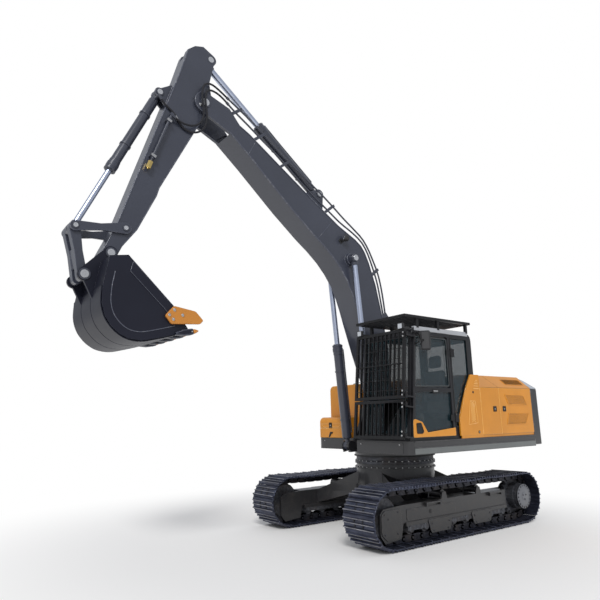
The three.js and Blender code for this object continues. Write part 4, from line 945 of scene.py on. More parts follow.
@dataclass
class Studio:
    """Pale floor, soft light, and a camera low down off the machine's left front corner."""

    eye: Colour = (7.131, 6.827, 1.715)
    heading: float = -127.1
    pitch: float = 12.411
    roll: float = -1.138
    lens: float = 32.75
    floor: float = 60.0

    def build(self) -> None:
        """Make the camera, the light and the floor."""
        self.camera()
        self.light()
        self.ground()

    def camera(self) -> None:
        """Aim = heading and pitch; the picture is then turned about the aim by the roll."""
        yaw, pitch, roll = (math.radians(v) for v in (self.heading, self.pitch, self.roll))
        level = math.cos(pitch)
        ahead = Vector((level * math.cos(yaw), level * math.sin(yaw), math.sin(pitch)))
        right = ahead.cross(Vector((0, 0, 1))).normalized()
        up = right.cross(ahead)
        across_view = right * math.cos(roll) + up * math.sin(roll)
        above = up * math.cos(roll) - right * math.sin(roll)
        turn = Matrix((across_view, above, -ahead)).transposed().to_4x4()
        data = bpy.data.cameras.new("camera")
        data.lens = self.lens
        data.sensor_width = 36.0
        camera = bpy.data.objects.new("camera", data)
        camera.matrix_world = Matrix.Translation(here(*self.eye)) @ turn
        bpy.context.scene.collection.objects.link(camera)
        bpy.context.scene.camera = camera

    def light(self) -> None:
        """An even sky, seen white by the camera, and one broad sun from the front left."""
        scene = bpy.context.scene
        scene.view_settings.view_transform = "Standard"
        world = bpy.data.worlds.new("studio")
        world.use_nodes = True
        scene.world = world
        tree = world.node_tree
        tree.nodes.clear()
        ray, mix, out = (tree.nodes.new(f"ShaderNode{kind}")
                         for kind in ("LightPath", "MixShader", "OutputWorld"))
        tree.links.new(ray.outputs["Is Camera Ray"], mix.inputs[0])
        for slot, colour, strength in ((1, (0.86, 0.89, 0.95), 0.62), (2, (1.0, 1.0, 1.0), 1.0)):
            sky = tree.nodes.new("ShaderNodeBackground")
            sky.inputs["Color"].default_value = (*colour, 1.0)
            sky.inputs["Strength"].default_value = strength
            tree.links.new(sky.outputs[0], mix.inputs[slot])
        tree.links.new(mix.outputs[0], out.inputs[0])
        data = bpy.data.lights.new("sun", "SUN")
        data.energy = 1.9
        data.angle = math.radians(18)
        sun = bpy.data.objects.new("sun", data)
        aim = Vector((0.50, 0.62, 0.62)).to_track_quat("Z", "Y")
        sun.matrix_world = aim.to_matrix().to_4x4()
        scene.collection.objects.link(sun)

    def ground(self) -> None:
        """A disc of floor that fades to white far from the machine."""
        points, faces = lathe([(-0.02, self.floor), (-0.004, self.floor)], 64)
        mesh = bpy.data.meshes.new("floor")
        mesh.from_pydata(points.tolist(), [], faces)
        floor = bpy.data.objects.new("floor", mesh)
        shade = Shade("floor_paint")
        far = shade.add("ShaderNodeVectorMath", {"operation": "LENGTH"}, {0: shade.places}, "Value")
        grain = shade.noise(3.0) * 0.04
        surface = shade.surface({
            "Base Color": shade.mix(grain, (0.90, 0.885, 0.86), (0.86, 0.845, 0.82)),
            "Roughness": 0.9, "Specular IOR Level": 0.1,
        })
        glow = shade.add("ShaderNodeEmission", {}, {"Color": (1.0, 1.0, 1.0, 1.0), "Strength": 1.0})
        mixed = shade.add("ShaderNodeMixShader", {}, {0: far.rise(2.6, 7.0), 1: surface, 2: glow})
        mesh.materials.append(shade.close(mixed))
        bpy.context.scene.collection.objects.link(floor)


# ------------------------------------------------------------------ hoses


@dataclass
class Hose:
    """A pressed-on hose between two steel unions, on a fixed run."""

    name: str
    run: Sequence[Colour]
    length: float
    body: str
    onto: str = ""
    bore: float = 0.030

    def build(self) -> None:
        """Make the hose in place of its CAD node; a hose that runs onto another body is taken off
        its body and left in the common frame.
        """
        path = np.array([here(*point) for point in self.run])
        line = smooth_path(path, 5)
        batch = Batch(self.name + "_skin", Coat.HOSE, self.body, 60.0)
        piece = batch.add(tube(line, self.bore / 2, 18)).make(replaces=[self.name])
        if self.onto:
            piece.parent = None
            del piece["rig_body"]
            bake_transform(piece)


UPPER_RUN = (
    (3.398, .095, 6.6474), (3.4282, .095, 6.6645), (3.485, .095, 6.697), (3.549, .095, 6.731),
    (3.613, .098, 6.756), (3.676, .105, 6.762), (3.737, .116, 6.743), (3.786, .13, 6.702),
    (3.818, .143, 6.644), (3.835, .151, 6.576), (3.841, .156, 6.505), (3.837, .159, 6.432),
    (3.826, .159, 6.36), (3.813, .156, 6.288), (3.806, .15, 6.216), (3.809, .143, 6.146),
    (3.831, .138, 6.08), (3.869, .134, 6.022), (3.921, .131, 5.977), (3.984, .129, 5.951),
    (4.052, .128, 5.941), (4.11, .127, 5.943), (4.158, .127, 5.953), (4.2038, .127, 5.9713),
    (4.2349, .127, 5.9867),
)
LOWER_RUN = (
    (3.3965, .095, 6.5588), (3.4245, .095, 6.5792), (3.475, .095, 6.612), (3.532, .097, 6.64),
    (3.594, .101, 6.656), (3.656, .111, 6.654), (3.713, .127, 6.632), (3.755, .142, 6.59),
    (3.778, .15, 6.535), (3.787, .155, 6.472), (3.785, .157, 6.404), (3.776, .157, 6.334),
    (3.764, .155, 6.262), (3.755, .15, 6.19), (3.753, .143, 6.117), (3.762, .134, 6.046),
    (3.786, .124, 5.981), (3.826, .114, 5.926), (3.882, .106, 5.888), (3.945, .099, 5.868),
    (4.01, .093, 5.867), (4.071, .0895, 5.883), (4.121, .0885, 5.914), (4.1628, .0885, 5.9555),
    (4.183, .0885, 5.9837),
)
RAM_RUN = (
    (4.4405, .09, 6.2314), (4.4337, .09, 6.2219), (4.4188, .09, 6.2034), (4.4028, .0899, 6.1871),
    (4.3859, .0898, 6.1728), (4.3684, .0896, 6.1598), (4.3504, .0894, 6.1478),
    (4.3323, .0892, 6.1363), (4.3141, .0891, 6.1248), (4.2961, .0889, 6.1128),
    (4.2786, .0887, 6.0998), (4.2617, .0886, 6.0855), (4.2458, .0885, 6.0692),
    (4.2309, .0885, 6.0506), (4.2241, .0885, 6.0411),
)
HOSES = (
    Hose("arm_hose_upper", UPPER_RUN, 1.546, "boom", "arm"),
    Hose("arm_hose_lower", LOWER_RUN, 1.521, "boom", "arm"),
    Hose("bucket_hose", RAM_RUN, 0.290, "arm"),
)


# ------------------------------------------------------------------ tracks and undercarriage


SIDES = ((1, "left"), (-1, "right"))
GAUGE = 2.3
UPRIGHT = np.array([[1.0, 0, 0, 0], [0, 0, -1.0, 0], [0, 1.0, 0, 0], [0, 0, 0, 1]])
BARS = ((0.062, 0.72), (0.0, 0.72), (-0.064, 1.0))


@dataclass
class Track:
    """One endless track: jointed links, pins, and shoes with three bars each."""

    side: int
    label: str
    width: float = 0.6
    height: float = 0.4075
    half_base: float = 1.5775
    radius: float = 0.3175
    shoes: int = 45
    rise: float = 0.050
    plate: float = 0.014
    bar: float = 0.026
    crest: float = 0.0012
    sag: float = 0.014
    carriers: tuple[float, float] = (0.33, -0.5)
    rail: tuple[float, float] = (0.066, 0.097)

    def chain_line(self) -> Array:
        """Dense closed run of the pins: half a circle round the front wheel, a shallow parabola
        between each two supports on top, half a circle round the rear wheel, then the ground."""
        stops = [self.half_base, *self.carriers, -self.half_base]
        t = np.linspace(0, 1, 30)[1:-1]
        top = self.height + self.radius - self.sag * 4 * t * (1 - t)
        spans = [np.stack([a + (b - a) * t, top], 1) for a, b in zip(stops, stops[1:])]
        ends = []
        for wheel, start in ((self.half_base, -90), (-self.half_base, 90)):
            turn = np.radians(np.linspace(start, start + 180, 90))
            ends.append(np.stack([wheel + self.radius * np.cos(turn),
                                  self.height + self.radius * np.sin(turn)], 1))
        return np.concatenate([ends[0], *spans, ends[1]])

    def links(self) -> Array:
        """One matrix for each link: x along it, z out of the loop, at the middle of its pins.
        The pins stand at equal lengths along the chain line."""
        line = self.chain_line()
        ends = np.concatenate([line, line[:1]])
        steps = np.linalg.norm(np.diff(ends, axis=0), axis=1)
        walked = np.concatenate([[0], np.cumsum(steps)])
        goal = np.arange(self.shoes + 1) * walked[-1] / self.shoes
        pins = np.stack([np.interp(goal, walked, ends[:, k]) for k in (0, 1)], 1)
        along = np.diff(pins, axis=0)
        self.pitch = float(np.mean(np.linalg.norm(along, axis=1)))
        along /= np.linalg.norm(along, axis=1)[:, None]
        middle = (pins[:-1] + pins[1:]) / 2
        out = np.tile(np.eye(4), (self.shoes, 1, 1))
        out[:, 0, 0], out[:, 2, 0] = along[:, 0], along[:, 1]
        out[:, :3, 1] = (0, -1, 0)
        out[:, 0, 2], out[:, 2, 2] = along[:, 1], -along[:, 0]
        out[:, 0, 3], out[:, 2, 3] = middle[:, 0] + SWING, middle[:, 1]
        out[:, 1, 3] = self.side * GAUGE / 2
        return out

    def bar_top(self, share: float) -> float:
        """Height of a bar's painted top, as a share of the full bar over the plate."""
        return self.rise + self.plate + (self.bar - self.crest) * share

    def shoe(self) -> Shell:
        """Side view of a shoe carried across the track: a plate with three bars, the front edge
        curled down and the rear edge lifted over its neighbour."""
        half, low, high = self.pitch / 2, self.rise, self.rise + self.plate
        outline = [(-half - 0.004, low + 0.001), (half - 0.006, low), (half + 0.018, low - 0.016),
                   (half + 0.023, low - 0.008), (half + 0.002, high)]
        for centre, share in BARS:
            top = self.bar_top(share)
            foot, crown = (0.016, 0.007) if share == 1.0 else (0.014, 0.006)
            outline += [(centre + foot, high), (centre + crown, top), (centre - crown, top),
                        (centre - foot, high)]
        outline.append((-half - 0.002, high))
        return moved(prism(outline, -self.width / 2, self.width / 2, 0.0015), UPRIGHT)

    def link(self) -> Shell:
        """Side view of a link plate: round ends joined by a waist."""
        half, eye, drop = self.pitch / 2, 0.040, 0.002
        turn = np.radians(np.linspace(-70, 70, 8))
        x, z = half + eye * np.cos(turn), eye * np.sin(turn) - drop
        waist = [[(0.030, self.rise - 0.001), (-0.030, self.rise - 0.001)],
                 [(-0.050, -self.rise), (0.050, -self.rise)]]
        outline = np.concatenate([np.stack([x, z], 1), waist[0], np.stack([-x, z], 1)[::-1],
                                  waist[1]])
        return moved(prism(outline, *self.rail, 0.002), UPRIGHT)

    def build(self) -> None:
        """Make the shoes, the links with their pins, the bars' crest strips and the shoe bolts; the
        crest strips are worn steel, made lighter as a painted highlight on the bar edges.
        """
        links, body, label = self.links(), "undercarriage", self.label
        shoes = Batch(f"shoes_{label}", Coat.TRACK, body, 25.0)
        shoes.add(scattered(self.shoe(), links)).make(replaces=[f"track_{label}"])
        # Crest strips of worn steel, much lighter than the shoes: wear, and a painted highlight
        # along the bar edges.
        worn_lit_crests = Batch(f"worn_lit_bars_{label}", Coat.WORN, body)
        reach = self.width / 2 - 0.004
        for centre, share in BARS:
            level, wide = self.bar_top(share), 0.006 if share == 1.0 else 0.005
            strip = block((centre - wide, -reach, level + 0.0001),
                          (centre + wide, reach, level + self.crest))
            worn_lit_crests.add(scattered(strip, links))
        worn_lit_crests.make()
        link = self.link()
        chain = Batch(f"chain_{label}", Coat.LINK, body)
        chain.add(scattered(link, links), scattered(mirrored(link), links))
        pins = links.copy()
        pins[:, :3, 3] += links[:, :3, 0] * self.pitch / 2
        half = [(0.112, 0.017), (0.110, 0.019), (0.064, 0.019), (0.0635, 0.028)]
        barrel = lathe([(-h, r) for h, r in half] + half[::-1], 12)
        chain.add(scattered(moved(barrel, Seat(z=(0, 1, 0)).matrix()), pins)).make()
        heads = Batch(f"shoe_bolts_{label}", Coat.LINK, body)
        head = lathe([(0.0, 0.016), (0.008, 0.016), (0.0105, 0.013)], 6)
        for x in (-0.032, 0.031):
            for y in (-0.080, 0.080):
                place = Seat((x, y, self.rise + self.plate - 0.0005)).matrix()
                heads.add(scattered(moved(head, place), links))
        heads.make()


@dataclass
class TrackFrame:
    """The frame between the wheels: covers, caps, final drive, guards and steps."""

    side: int
    label: str
    face: float = 0.130
    wheel: float = 1.5775
    axle: float = 0.4075
    rollers: int = 8

    def out(self, x: float, y: float, z: float) -> Seat:
        """Seat on the outer face, y out from the track's middle, whose z looks outwards."""
        place = here(x, self.side * (GAUGE / 2 + y), z)
        return Seat(place, (1, 0, 0), (0, self.side, 0))

    def on_face(self, outline: Array, thick: float, low: float = 0.130) -> Shell:
        """A plate drawn in x and z, on a seat that looks out of the frame."""
        return prism(np.asarray(outline, float) * (1, -self.side), low, low + thick, 0.0015)

    def build(self) -> None:
        """Dress the frame and wheels and add what is bolted to them."""
        for node, coat, width in (("track_frame", Coat.FRAME, 0.006), ("idler", Coat.CAST, 0.004),
                                  ("bottom_rollers", Coat.CAST, 0.003),
                                  ("sprocket", Coat.CAST, 0.003)):
            dressed(f"{node}_{self.label}", coat, width)
        names = (("final_drive", Coat.DRIVE), ("frame_bolts", Coat.CAST),
                 ("frame_plates", Coat.FRAME), ("roller_caps", Coat.CAST),
                 ("access_cover", Coat.SEAL))
        drive, bolts, plates, caps, cover = (
            Batch(f"{name}_{self.label}", coat, "undercarriage") for name, coat in names)
        drive.at(self.out(-self.wheel, 0.0, self.axle),
                 lathe([(0.2255, 0.170), (0.231, 0.192), (0.238, 0.192), (0.242, 0.184),
                        (0.242, 0.03)], 56),
                 lathe([(0.2423, 0.070), (0.246, 0.070), (0.248, 0.064), (0.248, 0.02)], 36))
        for radius, start, step, face, high in ((0.173, 0, 20.0, 0.242, 0.010),
                                                (0.045, 30, 120.0, 0.248, 0.008)):
            for turn in np.radians(np.arange(start, start + 360, step)):
                spot = self.out(-self.wheel + radius * math.cos(turn), face,
                                self.axle + radius * math.sin(turn))
                bolts.at(spot, bolt(0.020, high))
        nose = [(1.28, 0.20), (1.36, 0.13), (1.56, 0.11), (1.655, 0.20), (1.655, 0.44),
                (1.60, 0.50), (1.28, 0.50)]
        plates.at(self.out(0, 0, 0), self.on_face(rounded(nose, 0.03), 0.012),
                  self.on_face(oblong(0.10, 0.325, 1.16, 0.475, 0.02), 0.008))
        for x in (-0.90, 0.62):
            plates.at(self.out(x, 0, 0.525),
                      block((-0.17, -0.012, self.face), (0.17, 0.012, self.face + 0.055)))
            for foot in (-0.15, 0.15):
                plates.at(self.out(x + foot, 0, 0.5),
                          block((-0.012, -0.03, self.face), (0.012, 0.02, self.face + 0.05)))
        guard = rounded([(-0.21, -0.075), (0.21, -0.075), (0.27, 0.105), (-0.27, 0.105)], 0.03)
        for x, z in ((1.34, 0.46), (1.60, 0.45), (1.60, 0.20), (1.36, 0.19)):
            bolts.at(self.out(x, self.face + 0.012, z), bolt(0.018, 0.011))
        for x in (-0.515, 0.48):
            plates.at(self.out(x, 0, 0.19), self.on_face(guard, 0.018, 0.142))
            for dx, dz in ((-0.19, 0.05), (0.19, 0.05), (-0.16, -0.045), (0.16, -0.045)):
                bolts.at(self.out(x + dx, 0.160, 0.19 + dz), bolt(0.018, 0.011))
        for x in np.linspace(1.09, -1.08, self.rollers):
            caps.at(self.out(float(x), 0, 0.2155),
                    lathe([(0.139, 0.048), (0.147, 0.048), (0.152, 0.040), (0.152, 0.02)], 20))
            for dx in (-0.034, 0.034):
                bolts.at(self.out(float(x) + dx, 0.1405, 0.240), bolt(0.013, 0.009))
        caps.at(self.out(self.wheel, 0, self.axle),
                lathe([(0.0997, 0.052), (0.1280, 0.052), (0.1300, 0.048), (0.1300, 0.02)], 28))
        cover.at(self.out(0.672, self.face + 0.008, 0.405),
                 lathe([(0.0, 0.030), (0.0015, 0.030), (0.002, 0.026), (0.002, 0.005)], 28))
        cover.at(self.out(1.535, self.face + 0.012, 0.389),
                 lathe([(0.0, 0.014), (0.001, 0.014), (0.0015, 0.011), (0.0015, 0.003)], 20))
        drive.make()
        plates.make(0.003)
        for batch in (caps, bolts, cover):
            batch.make()


@dataclass
class Carbody:
    """The X-shaped middle of the undercarriage, and the slewing ring on it."""

    radius: float = 0.650
    low: float = 0.985
    high: float = 1.100
    bolts: int = 40

    def build(self) -> None:
        """Dress the middle, and bolt the ring down in two rows."""
        body, middle, wide, base = "undercarriage", Seat(here(0, 0, 0)), self.radius, self.low
        dressed("car_body", Coat.FRAME, 0.010)
        dressed("swing_bearing", Coat.CAST, 0.004)
        heads = Batch("ring_bolts", Coat.ZINC, body)
        for radius, height in ((wide + 0.012, base + 0.0455), (wide + 0.0105, base - 0.052)):
            for turn in np.arange(self.bolts) * 2 * np.pi / self.bolts:
                spot = here(radius * math.cos(turn), radius * math.sin(turn), height)
                heads.at(Seat(spot), bolt(0.017, 0.011))
        heads.make()
        ledge = ring(wide + 0.0035, wide + 0.030, base - 0.072, base - 0.0525, 72)
        Batch("ring_flange", Coat.FRAME, body).at(middle, ledge).make()
        seal = ring(wide + 0.0205, wide + 0.034, self.high + 0.004, self.high + 0.022, 72)
        Batch("ring_seal", Coat.SEAL, "upperstructure").at(middle, seal).make()
        plates = Batch("motor_covers", Coat.FRAME, body)
        for side, _ in SIDES:
            plates.at(Seat(here(-0.20, side * 0.4302, 0.590), (-side, 0, 0), (0, side, 0)),
                      prism(oblong(-0.16, -0.05, 0.16, 0.05, 0.02), 0, 0.010, 0.002))
        plates.make(0.002)


# ------------------------------------------------------------------ bodywork


UPPER = "upperstructure"
FRONT = ((0.0, 1.0, 0.0), (1.0, 0.0, 0.0))
PROUD = 0.0003


def wall(side: int, y: float = 1.400) -> Seat:
    """Seat on a side of the machine: local x is the machine's x, turned over on the left side so
    that z can look out, and local y is up."""
    return Seat(here(0, side * y, 0), (-side, 0, 0), (0, side, 0))


def on_wall(side: int, points: Sequence[Sequence[float]]) -> Array:
    """Machine x and z of points as the wall seat's x and y."""
    return np.asarray(points, float) * (-side, 1)


def wall_plate(points: Sequence[Sequence[float]], radius: float, high: float,
               chamfer: float = 0.002, low: float = PROUD) -> Shell:
    """Rounded plate on the left wall's seat, by machine x and z of its corners."""
    return prism(rounded(on_wall(1, points), radius), low, high, chamfer)


@dataclass
class Grille:
    """A pressed grille in a panel: a raised rim, sloped slats, and dark mesh behind them."""

    name: str
    body: str
    seat: Seat
    corners: Array
    slats: int = 14
    rim: float = 0.016

    def build(self) -> None:
        """Make the rim and slats in the panel's finish, and the mesh."""
        outer = rounded(self.corners, 0.03)
        inner = inset(outer, self.rim)
        batch = Batch(self.name, Coat.BODY, self.body)
        batch.at(self.seat, frame_of(outer, inner, 0.0004, 0.006))
        low, high = inner[:, 1].min(), inner[:, 1].max()
        for level in np.linspace(low, high, self.slats + 2)[1:-1]:
            left, right = self.crossing(inner, level)
            pitch = (high - low) / self.slats
            batch.at(self.seat, self.slat(left - 0.004, right + 0.004, level, pitch))
        batch.make()
        mesh = prism(inset(outer, self.rim * 0.6), PROUD, 0.0012)
        Batch(self.name + "_mesh", Coat.MESH, self.body).at(self.seat, mesh).make()

    @staticmethod
    def crossing(outline: Array, level: float) -> tuple[float, float]:
        """Leftmost and rightmost crossing of a closed outline with a level line."""
        nxt = np.roll(outline, -1, 0)
        cut = (outline[:, 1] - level) * (nxt[:, 1] - level) < 0
        a, b = outline[cut], nxt[cut]
        x = a[:, 0] + (b[:, 0] - a[:, 0]) * (level - a[:, 1]) / (b[:, 1] - a[:, 1])
        return float(x.min()), float(x.max())

    @staticmethod
    def slat(left: float, right: float, level: float, pitch: float) -> Shell:
        """A blade sloped down and out, as a four-sided section carried from left to right."""
        section = np.array([(-0.32 * pitch, 0.0050), (0.30 * pitch, 0.0014),
                            (0.38 * pitch, 0.0020), (-0.24 * pitch, 0.0056)])
        rings = [np.column_stack([np.full(4, x), level + section[:, 0], section[:, 1]])
                 for x in (left, right)]
        return loft(np.array(rings))


@dataclass
class Latch:
    """A flush paddle latch: black cup, paddle and a key barrel."""

    name: str
    body: str
    x: float
    z: float
    side: int = 1
    half: float = 0.044

    def build(self) -> None:
        """Make the cup with its paddle, and the barrel."""
        seat = Seat(here(self.x, self.side * 1.400, self.z), (-self.side, 0, 0), (0, self.side, 0))
        half, low = self.half, self.half - 0.012
        outer = oblong(-half, -half, half, half, 0.014)
        cup = frame_of(outer, inset(outer, 0.009), PROUD, 0.006)
        paddle = prism(oblong(-low, -low, low, low, 0.008), PROUD, 0.0038, 0.001)
        barrel = lathe([(0.0038, 0.013), (0.0075, 0.013), (0.0085, 0.011), (0.0085, 0.003)], 18)
        Batch(f"latch_{self.name}", Coat.SEAL, self.body).at(seat, cup, paddle).make()
        Batch(f"latch_barrel_{self.name}", Coat.ZINC, self.body).at(seat, barrel).make()


@dataclass
class Bodywork:
    """Deck, tanks, engine covers, doors, counterweight and tool box."""

    side: float = 1.400
    shoulder: float = 2.185
    top: float = 2.400
    lean: float = 0.240
    rear: float = -2.085
    tail: float = 2.780

    def build(self) -> None:
        """Dress every cover and add what is pressed, bolted or hung on it."""
        for coat, width, nodes in (
                (Coat.FRAME, 0.005, "revolving_frame"), (Coat.FRAME, 0.030, "counterweight"),
                (Coat.BODY, 0.014, "fuel_tank hydraulic_tank"), (Coat.BODY, 0.008, "tool_box"),
                (Coat.BODY, 0.005, "cowl cab_side_panel service_door_front service_door_rear "
                                   "pump_door engine_hood"),
                (Coat.BODY, 0.012, "tool_box_lid"), (Coat.CAST, 0.020, "engine_block")):
            for node in nodes.split():
                dressed(node, coat, width)
        self.deck()
        self.doors()
        self.roof()
        self.counterweight()
        self.right_side()
        self.tool_box()
        self.engine_bay()

    def strip(self, side: int, front: float, low: float, high: float, *levels: float) -> Shell:
        """Straight strip along a side beam, from the tail to the front."""
        corners = [(self.rear, low), (front, low), (front, high), (self.rear, high)]
        return prism(on_wall(side, corners), *levels, 0.002)

    def deck(self) -> None:
        """The side beams' grey lower flange, the lips over it, and the sill under the doors."""
        flange = Batch("deck_flange", Coat.SILVER_GREY, UPPER)
        lip = Batch("deck_lip", Coat.FRAME, UPPER)
        sill = Batch("door_sill", Coat.BODY, UPPER)
        for side, front, ahead in ((1, 1.040, -0.52), (-1, 0.430, -1.02)):
            flange.at(wall(side), self.strip(side, front, 1.206, 1.288, PROUD, 0.006))
            lip.at(wall(side), self.strip(side, front, 1.290, 1.300, PROUD, 0.010),
                   self.strip(side, front, 1.372, 1.388, PROUD, 0.012))
            sill.at(wall(side), self.strip(side, ahead, 1.3903, 1.4325, -0.030, -0.0125))
        flange.make(0.002)
        lip.make(0.002)
        sill.make()

    def doors(self) -> None:
        """Grilles, latches, slots, hinges and seams of the left side."""
        seat = wall(1)
        for name, corners in (
                ("upper", [(-1.272, 2.076), (-1.846, 2.074), (-1.947, 1.886), (-1.368, 1.896)]),
                ("lower", [(-1.345, 1.769), (-1.975, 1.765), (-1.851, 1.572), (-1.279, 1.574)])):
            Grille(f"grille_{name}", "rear_service_door", seat, on_wall(1, corners)).build()
        Latch("front", "front_service_door", -0.967, 1.835).build()
        Latch("rear", "rear_service_door", -1.235, 1.835).build()
        # Slot lips, recess frame and louvre bars in the lighter edge paint: a painted highlight
        # along the pressed edges.
        lips = Batch("side_panel_trim", Coat.BODY_EDGE, UPPER)
        for level, left, right in ((2.289, -0.490, -0.545), (2.262, -0.470, -0.550),
                                   (2.235, -0.450, -0.555), (2.198, -0.435, -0.560),
                                   (2.157, -0.418, -0.562)):
            slot = oblong(left, level - 0.007, right, level + 0.007, 0.005)
            lips.at(seat, prism(on_wall(1, slot), PROUD, 0.006, 0.002))
        recess = [(-0.310, 1.965), (-0.455, 1.965), (-0.485, 1.615), (-0.235, 1.590)]
        outer = rounded(on_wall(1, recess), 0.02)
        lips.at(seat, frame_of(outer, inset(outer, 0.009), PROUD, 0.004))
        bar = np.array([(-0.055, 0.0), (-0.047, -0.006), (0.055, 0.048), (0.047, 0.054)])
        for base in 1.635 + 0.034 * np.arange(9):
            for turn, high in ((-1, 0.0022), (1, 0.0025)):
                lips.at(seat, prism(on_wall(1, bar * (turn, 1) + (-0.375, base)), PROUD, high))
        lips.make()
        dark = Batch("side_panel_fittings", Coat.SEAL, UPPER)
        for x, z, half in ((-0.415, 2.099, 0.017), (-0.493, 1.477, 0.020)):
            plug = oblong(x - half, z - half, x + half, z + half, 0.008)
            dark.at(seat, prism(on_wall(1, plug), PROUD, 0.004, 0.001))
        dark.make()
        key = lathe([(0.004, 0.010), (0.007, 0.010), (0.0075, 0.006)], 14)
        spot = Seat(here(-0.493, self.side, 1.477), (-1, 0, 0), (0, 1, 0))
        Batch("side_panel_key", Coat.ZINC, UPPER).at(spot, key).make()

    def shoulder_seat(self, side: int) -> Seat:
        """Seat on the roof's sloping shoulder: local x along the machine, local y up the slope."""
        rise = self.top - self.shoulder
        long = math.hypot(rise, self.lean)
        normal = (0.0, side * rise / long, self.lean / long)
        return Seat(here(0, side * self.side, self.shoulder), (-side, 0, 0), normal)

    def roof(self) -> None:
        """Grilles on the shoulders, the seam over the door split, and the hood's catches."""
        corners = [(-1.43, 0.085), (-1.43, 0.235), (-1.99, 0.235), (-1.99, 0.085)]
        for side, name in SIDES:
            Grille(f"grille_roof_{name}", UPPER, self.shoulder_seat(side),
                   on_wall(side, corners), slats=10, rim=0.010).build()
        seam = on_wall(1, [(-1.117, 0.003), (-1.113, 0.003), (-1.015, 0.318), (-1.019, 0.318)])
        Batch("roof_seam", Coat.SEAL, UPPER).at(
            self.shoulder_seat(1), prism(seam, 0.0002, 0.0009)).make()
        ribs = Batch("hood_ribs", Coat.BODY, "hood")
        for y in (-0.45, 0.0, 0.45):
            rib = oblong(-1.86, y - 0.05, -1.04, y + 0.05, 0.04)
            ribs.at(Seat(here(0, 0, 2.440)), prism(rib, 0.0002, 0.010, 0.006))
        ribs.make()
        catch = Batch("hood_catches", Coat.SEAL, "hood")
        for y in (-0.55, 0.55):
            pad = oblong(0.0, -0.035, 0.05, 0.035, 0.01)
            catch.at(Seat(here(-1.955, y, 2.440)), prism(pad, 0.0002, 0.012, 0.003))
        catch.make()

    def counterweight(self) -> None:
        """The tail's sloping cap, lamps and bumper strips."""
        sill, rings = 2.1855, []
        for x, y, top in ((-2.0895, 1.396, 2.398), (-2.200, 1.390, 2.392), (-2.300, 1.372, 2.360),
                          (-2.370, 1.340, 2.295), (-2.405, 1.300, 2.205)):
            share = (top - sill) / (2.398 - sill)
            crest, eaves = y - 0.31 * share, sill + 0.002 + 0.02 * share
            half = [(y, sill), (y, eaves), (crest + 0.02, top - 0.008), (crest - 0.02, top)]
            outer = half + [(0.0, top)]
            outer += [(-crest + 0.02, top), (-crest - 0.02, top - 0.008), (-y, eaves), (-y, sill)]
            rings.append([here(x, across_y, z) for across_y, z in outer])
        Batch("tail_cap", Coat.TAIL, UPPER).add(loft(np.array(rings)[:, ::-1])).make(0.008)
        outline = oblong(-0.10, -0.045, 0.10, 0.045, 0.02)
        for side, name in SIDES:
            turn = math.radians(180 - side * 22.0)
            out = (math.cos(turn), math.sin(turn), 0.0)
            seat = Seat(here(self.tail * out[0], self.tail * out[1], 1.62), (-out[1], out[0], 0.0),
                        out)
            case = frame_of(outline, inset(outline, 0.010), -0.006, 0.010)
            lens = prism(inset(outline, 0.0105), -0.006, 0.007, 0.003)
            Batch(f"tail_lamp_case_{name}", Coat.SEAL, UPPER).at(seat, case).make()
            Batch(f"tail_lamp_{name}", Coat.RED, UPPER).at(seat, lens).make()
        strip = Batch("tail_strips", Coat.SEAL, UPPER)
        turn = np.radians(np.linspace(158, 202, 40))[:, None]
        section = np.array([(0.0005, -0.012), (0.006, -0.010), (0.006, 0.010), (0.0005, 0.012)])
        radius = self.tail + section[None, :, 0]
        for z in (1.50, 2.08):
            level = np.broadcast_to(z + section[:, 1], (40, 4))
            rings = np.stack([radius * np.cos(turn) + SWING, radius * np.sin(turn), level], -1)
            strip.add(loft(rings[::-1]))
        strip.make()

    def right_side(self) -> None:
        """Pump door's grille and latch, the tanks' caps and the oil sight glass."""
        for name, corners in (
                ("pump", [(-1.98, 1.58), (-1.30, 1.58), (-1.22, 1.78), (-1.90, 1.78)]),
                ("pump_upper", [(-1.90, 1.90), (-1.22, 1.90), (-1.30, 2.08), (-1.98, 2.08)])):
            Grille(f"grille_{name}", "pump_bay_door", wall(-1), on_wall(-1, corners)).build()
        Latch("pump", "pump_bay_door", -1.06, 1.84, -1).build()
        caps = Batch("tank_caps", Coat.SEAL, UPPER)
        caps.at(Seat(here(-0.05, -0.95, 2.340)),
                lathe([(PROUD, 0.062), (0.004, 0.062), (0.006, 0.050), (0.030, 0.050),
                       (0.036, 0.044), (0.036, 0.01)], 24))
        caps.at(Seat(here(-0.62, -0.95, 2.340)),
                lathe([(PROUD, 0.085), (0.010, 0.085), (0.012, 0.078), (0.016, 0.05),
                       (0.040, 0.045), (0.044, 0.038), (0.044, 0.01)], 28)).make()
        heads = Batch("tank_bolts", Coat.ZINC, UPPER)
        for turn in np.radians(np.arange(0, 360, 60)):
            x, y = -0.62 + 0.070 * math.cos(turn), -0.95 + 0.070 * math.sin(turn)
            heads.at(Seat(here(x, y, 2.3505)), bolt(0.011, 0.008))
        heads.make()
        glass = prism(oblong(-0.012, -0.06, 0.012, 0.06, 0.01), PROUD, 0.008, 0.002)
        tank = Seat(here(-0.70, -1.380, 1.85), (1, 0, 0), (0, -1, 0))
        Batch("oil_sight_glass", Coat.AMBER, UPPER).at(tank, glass).make()

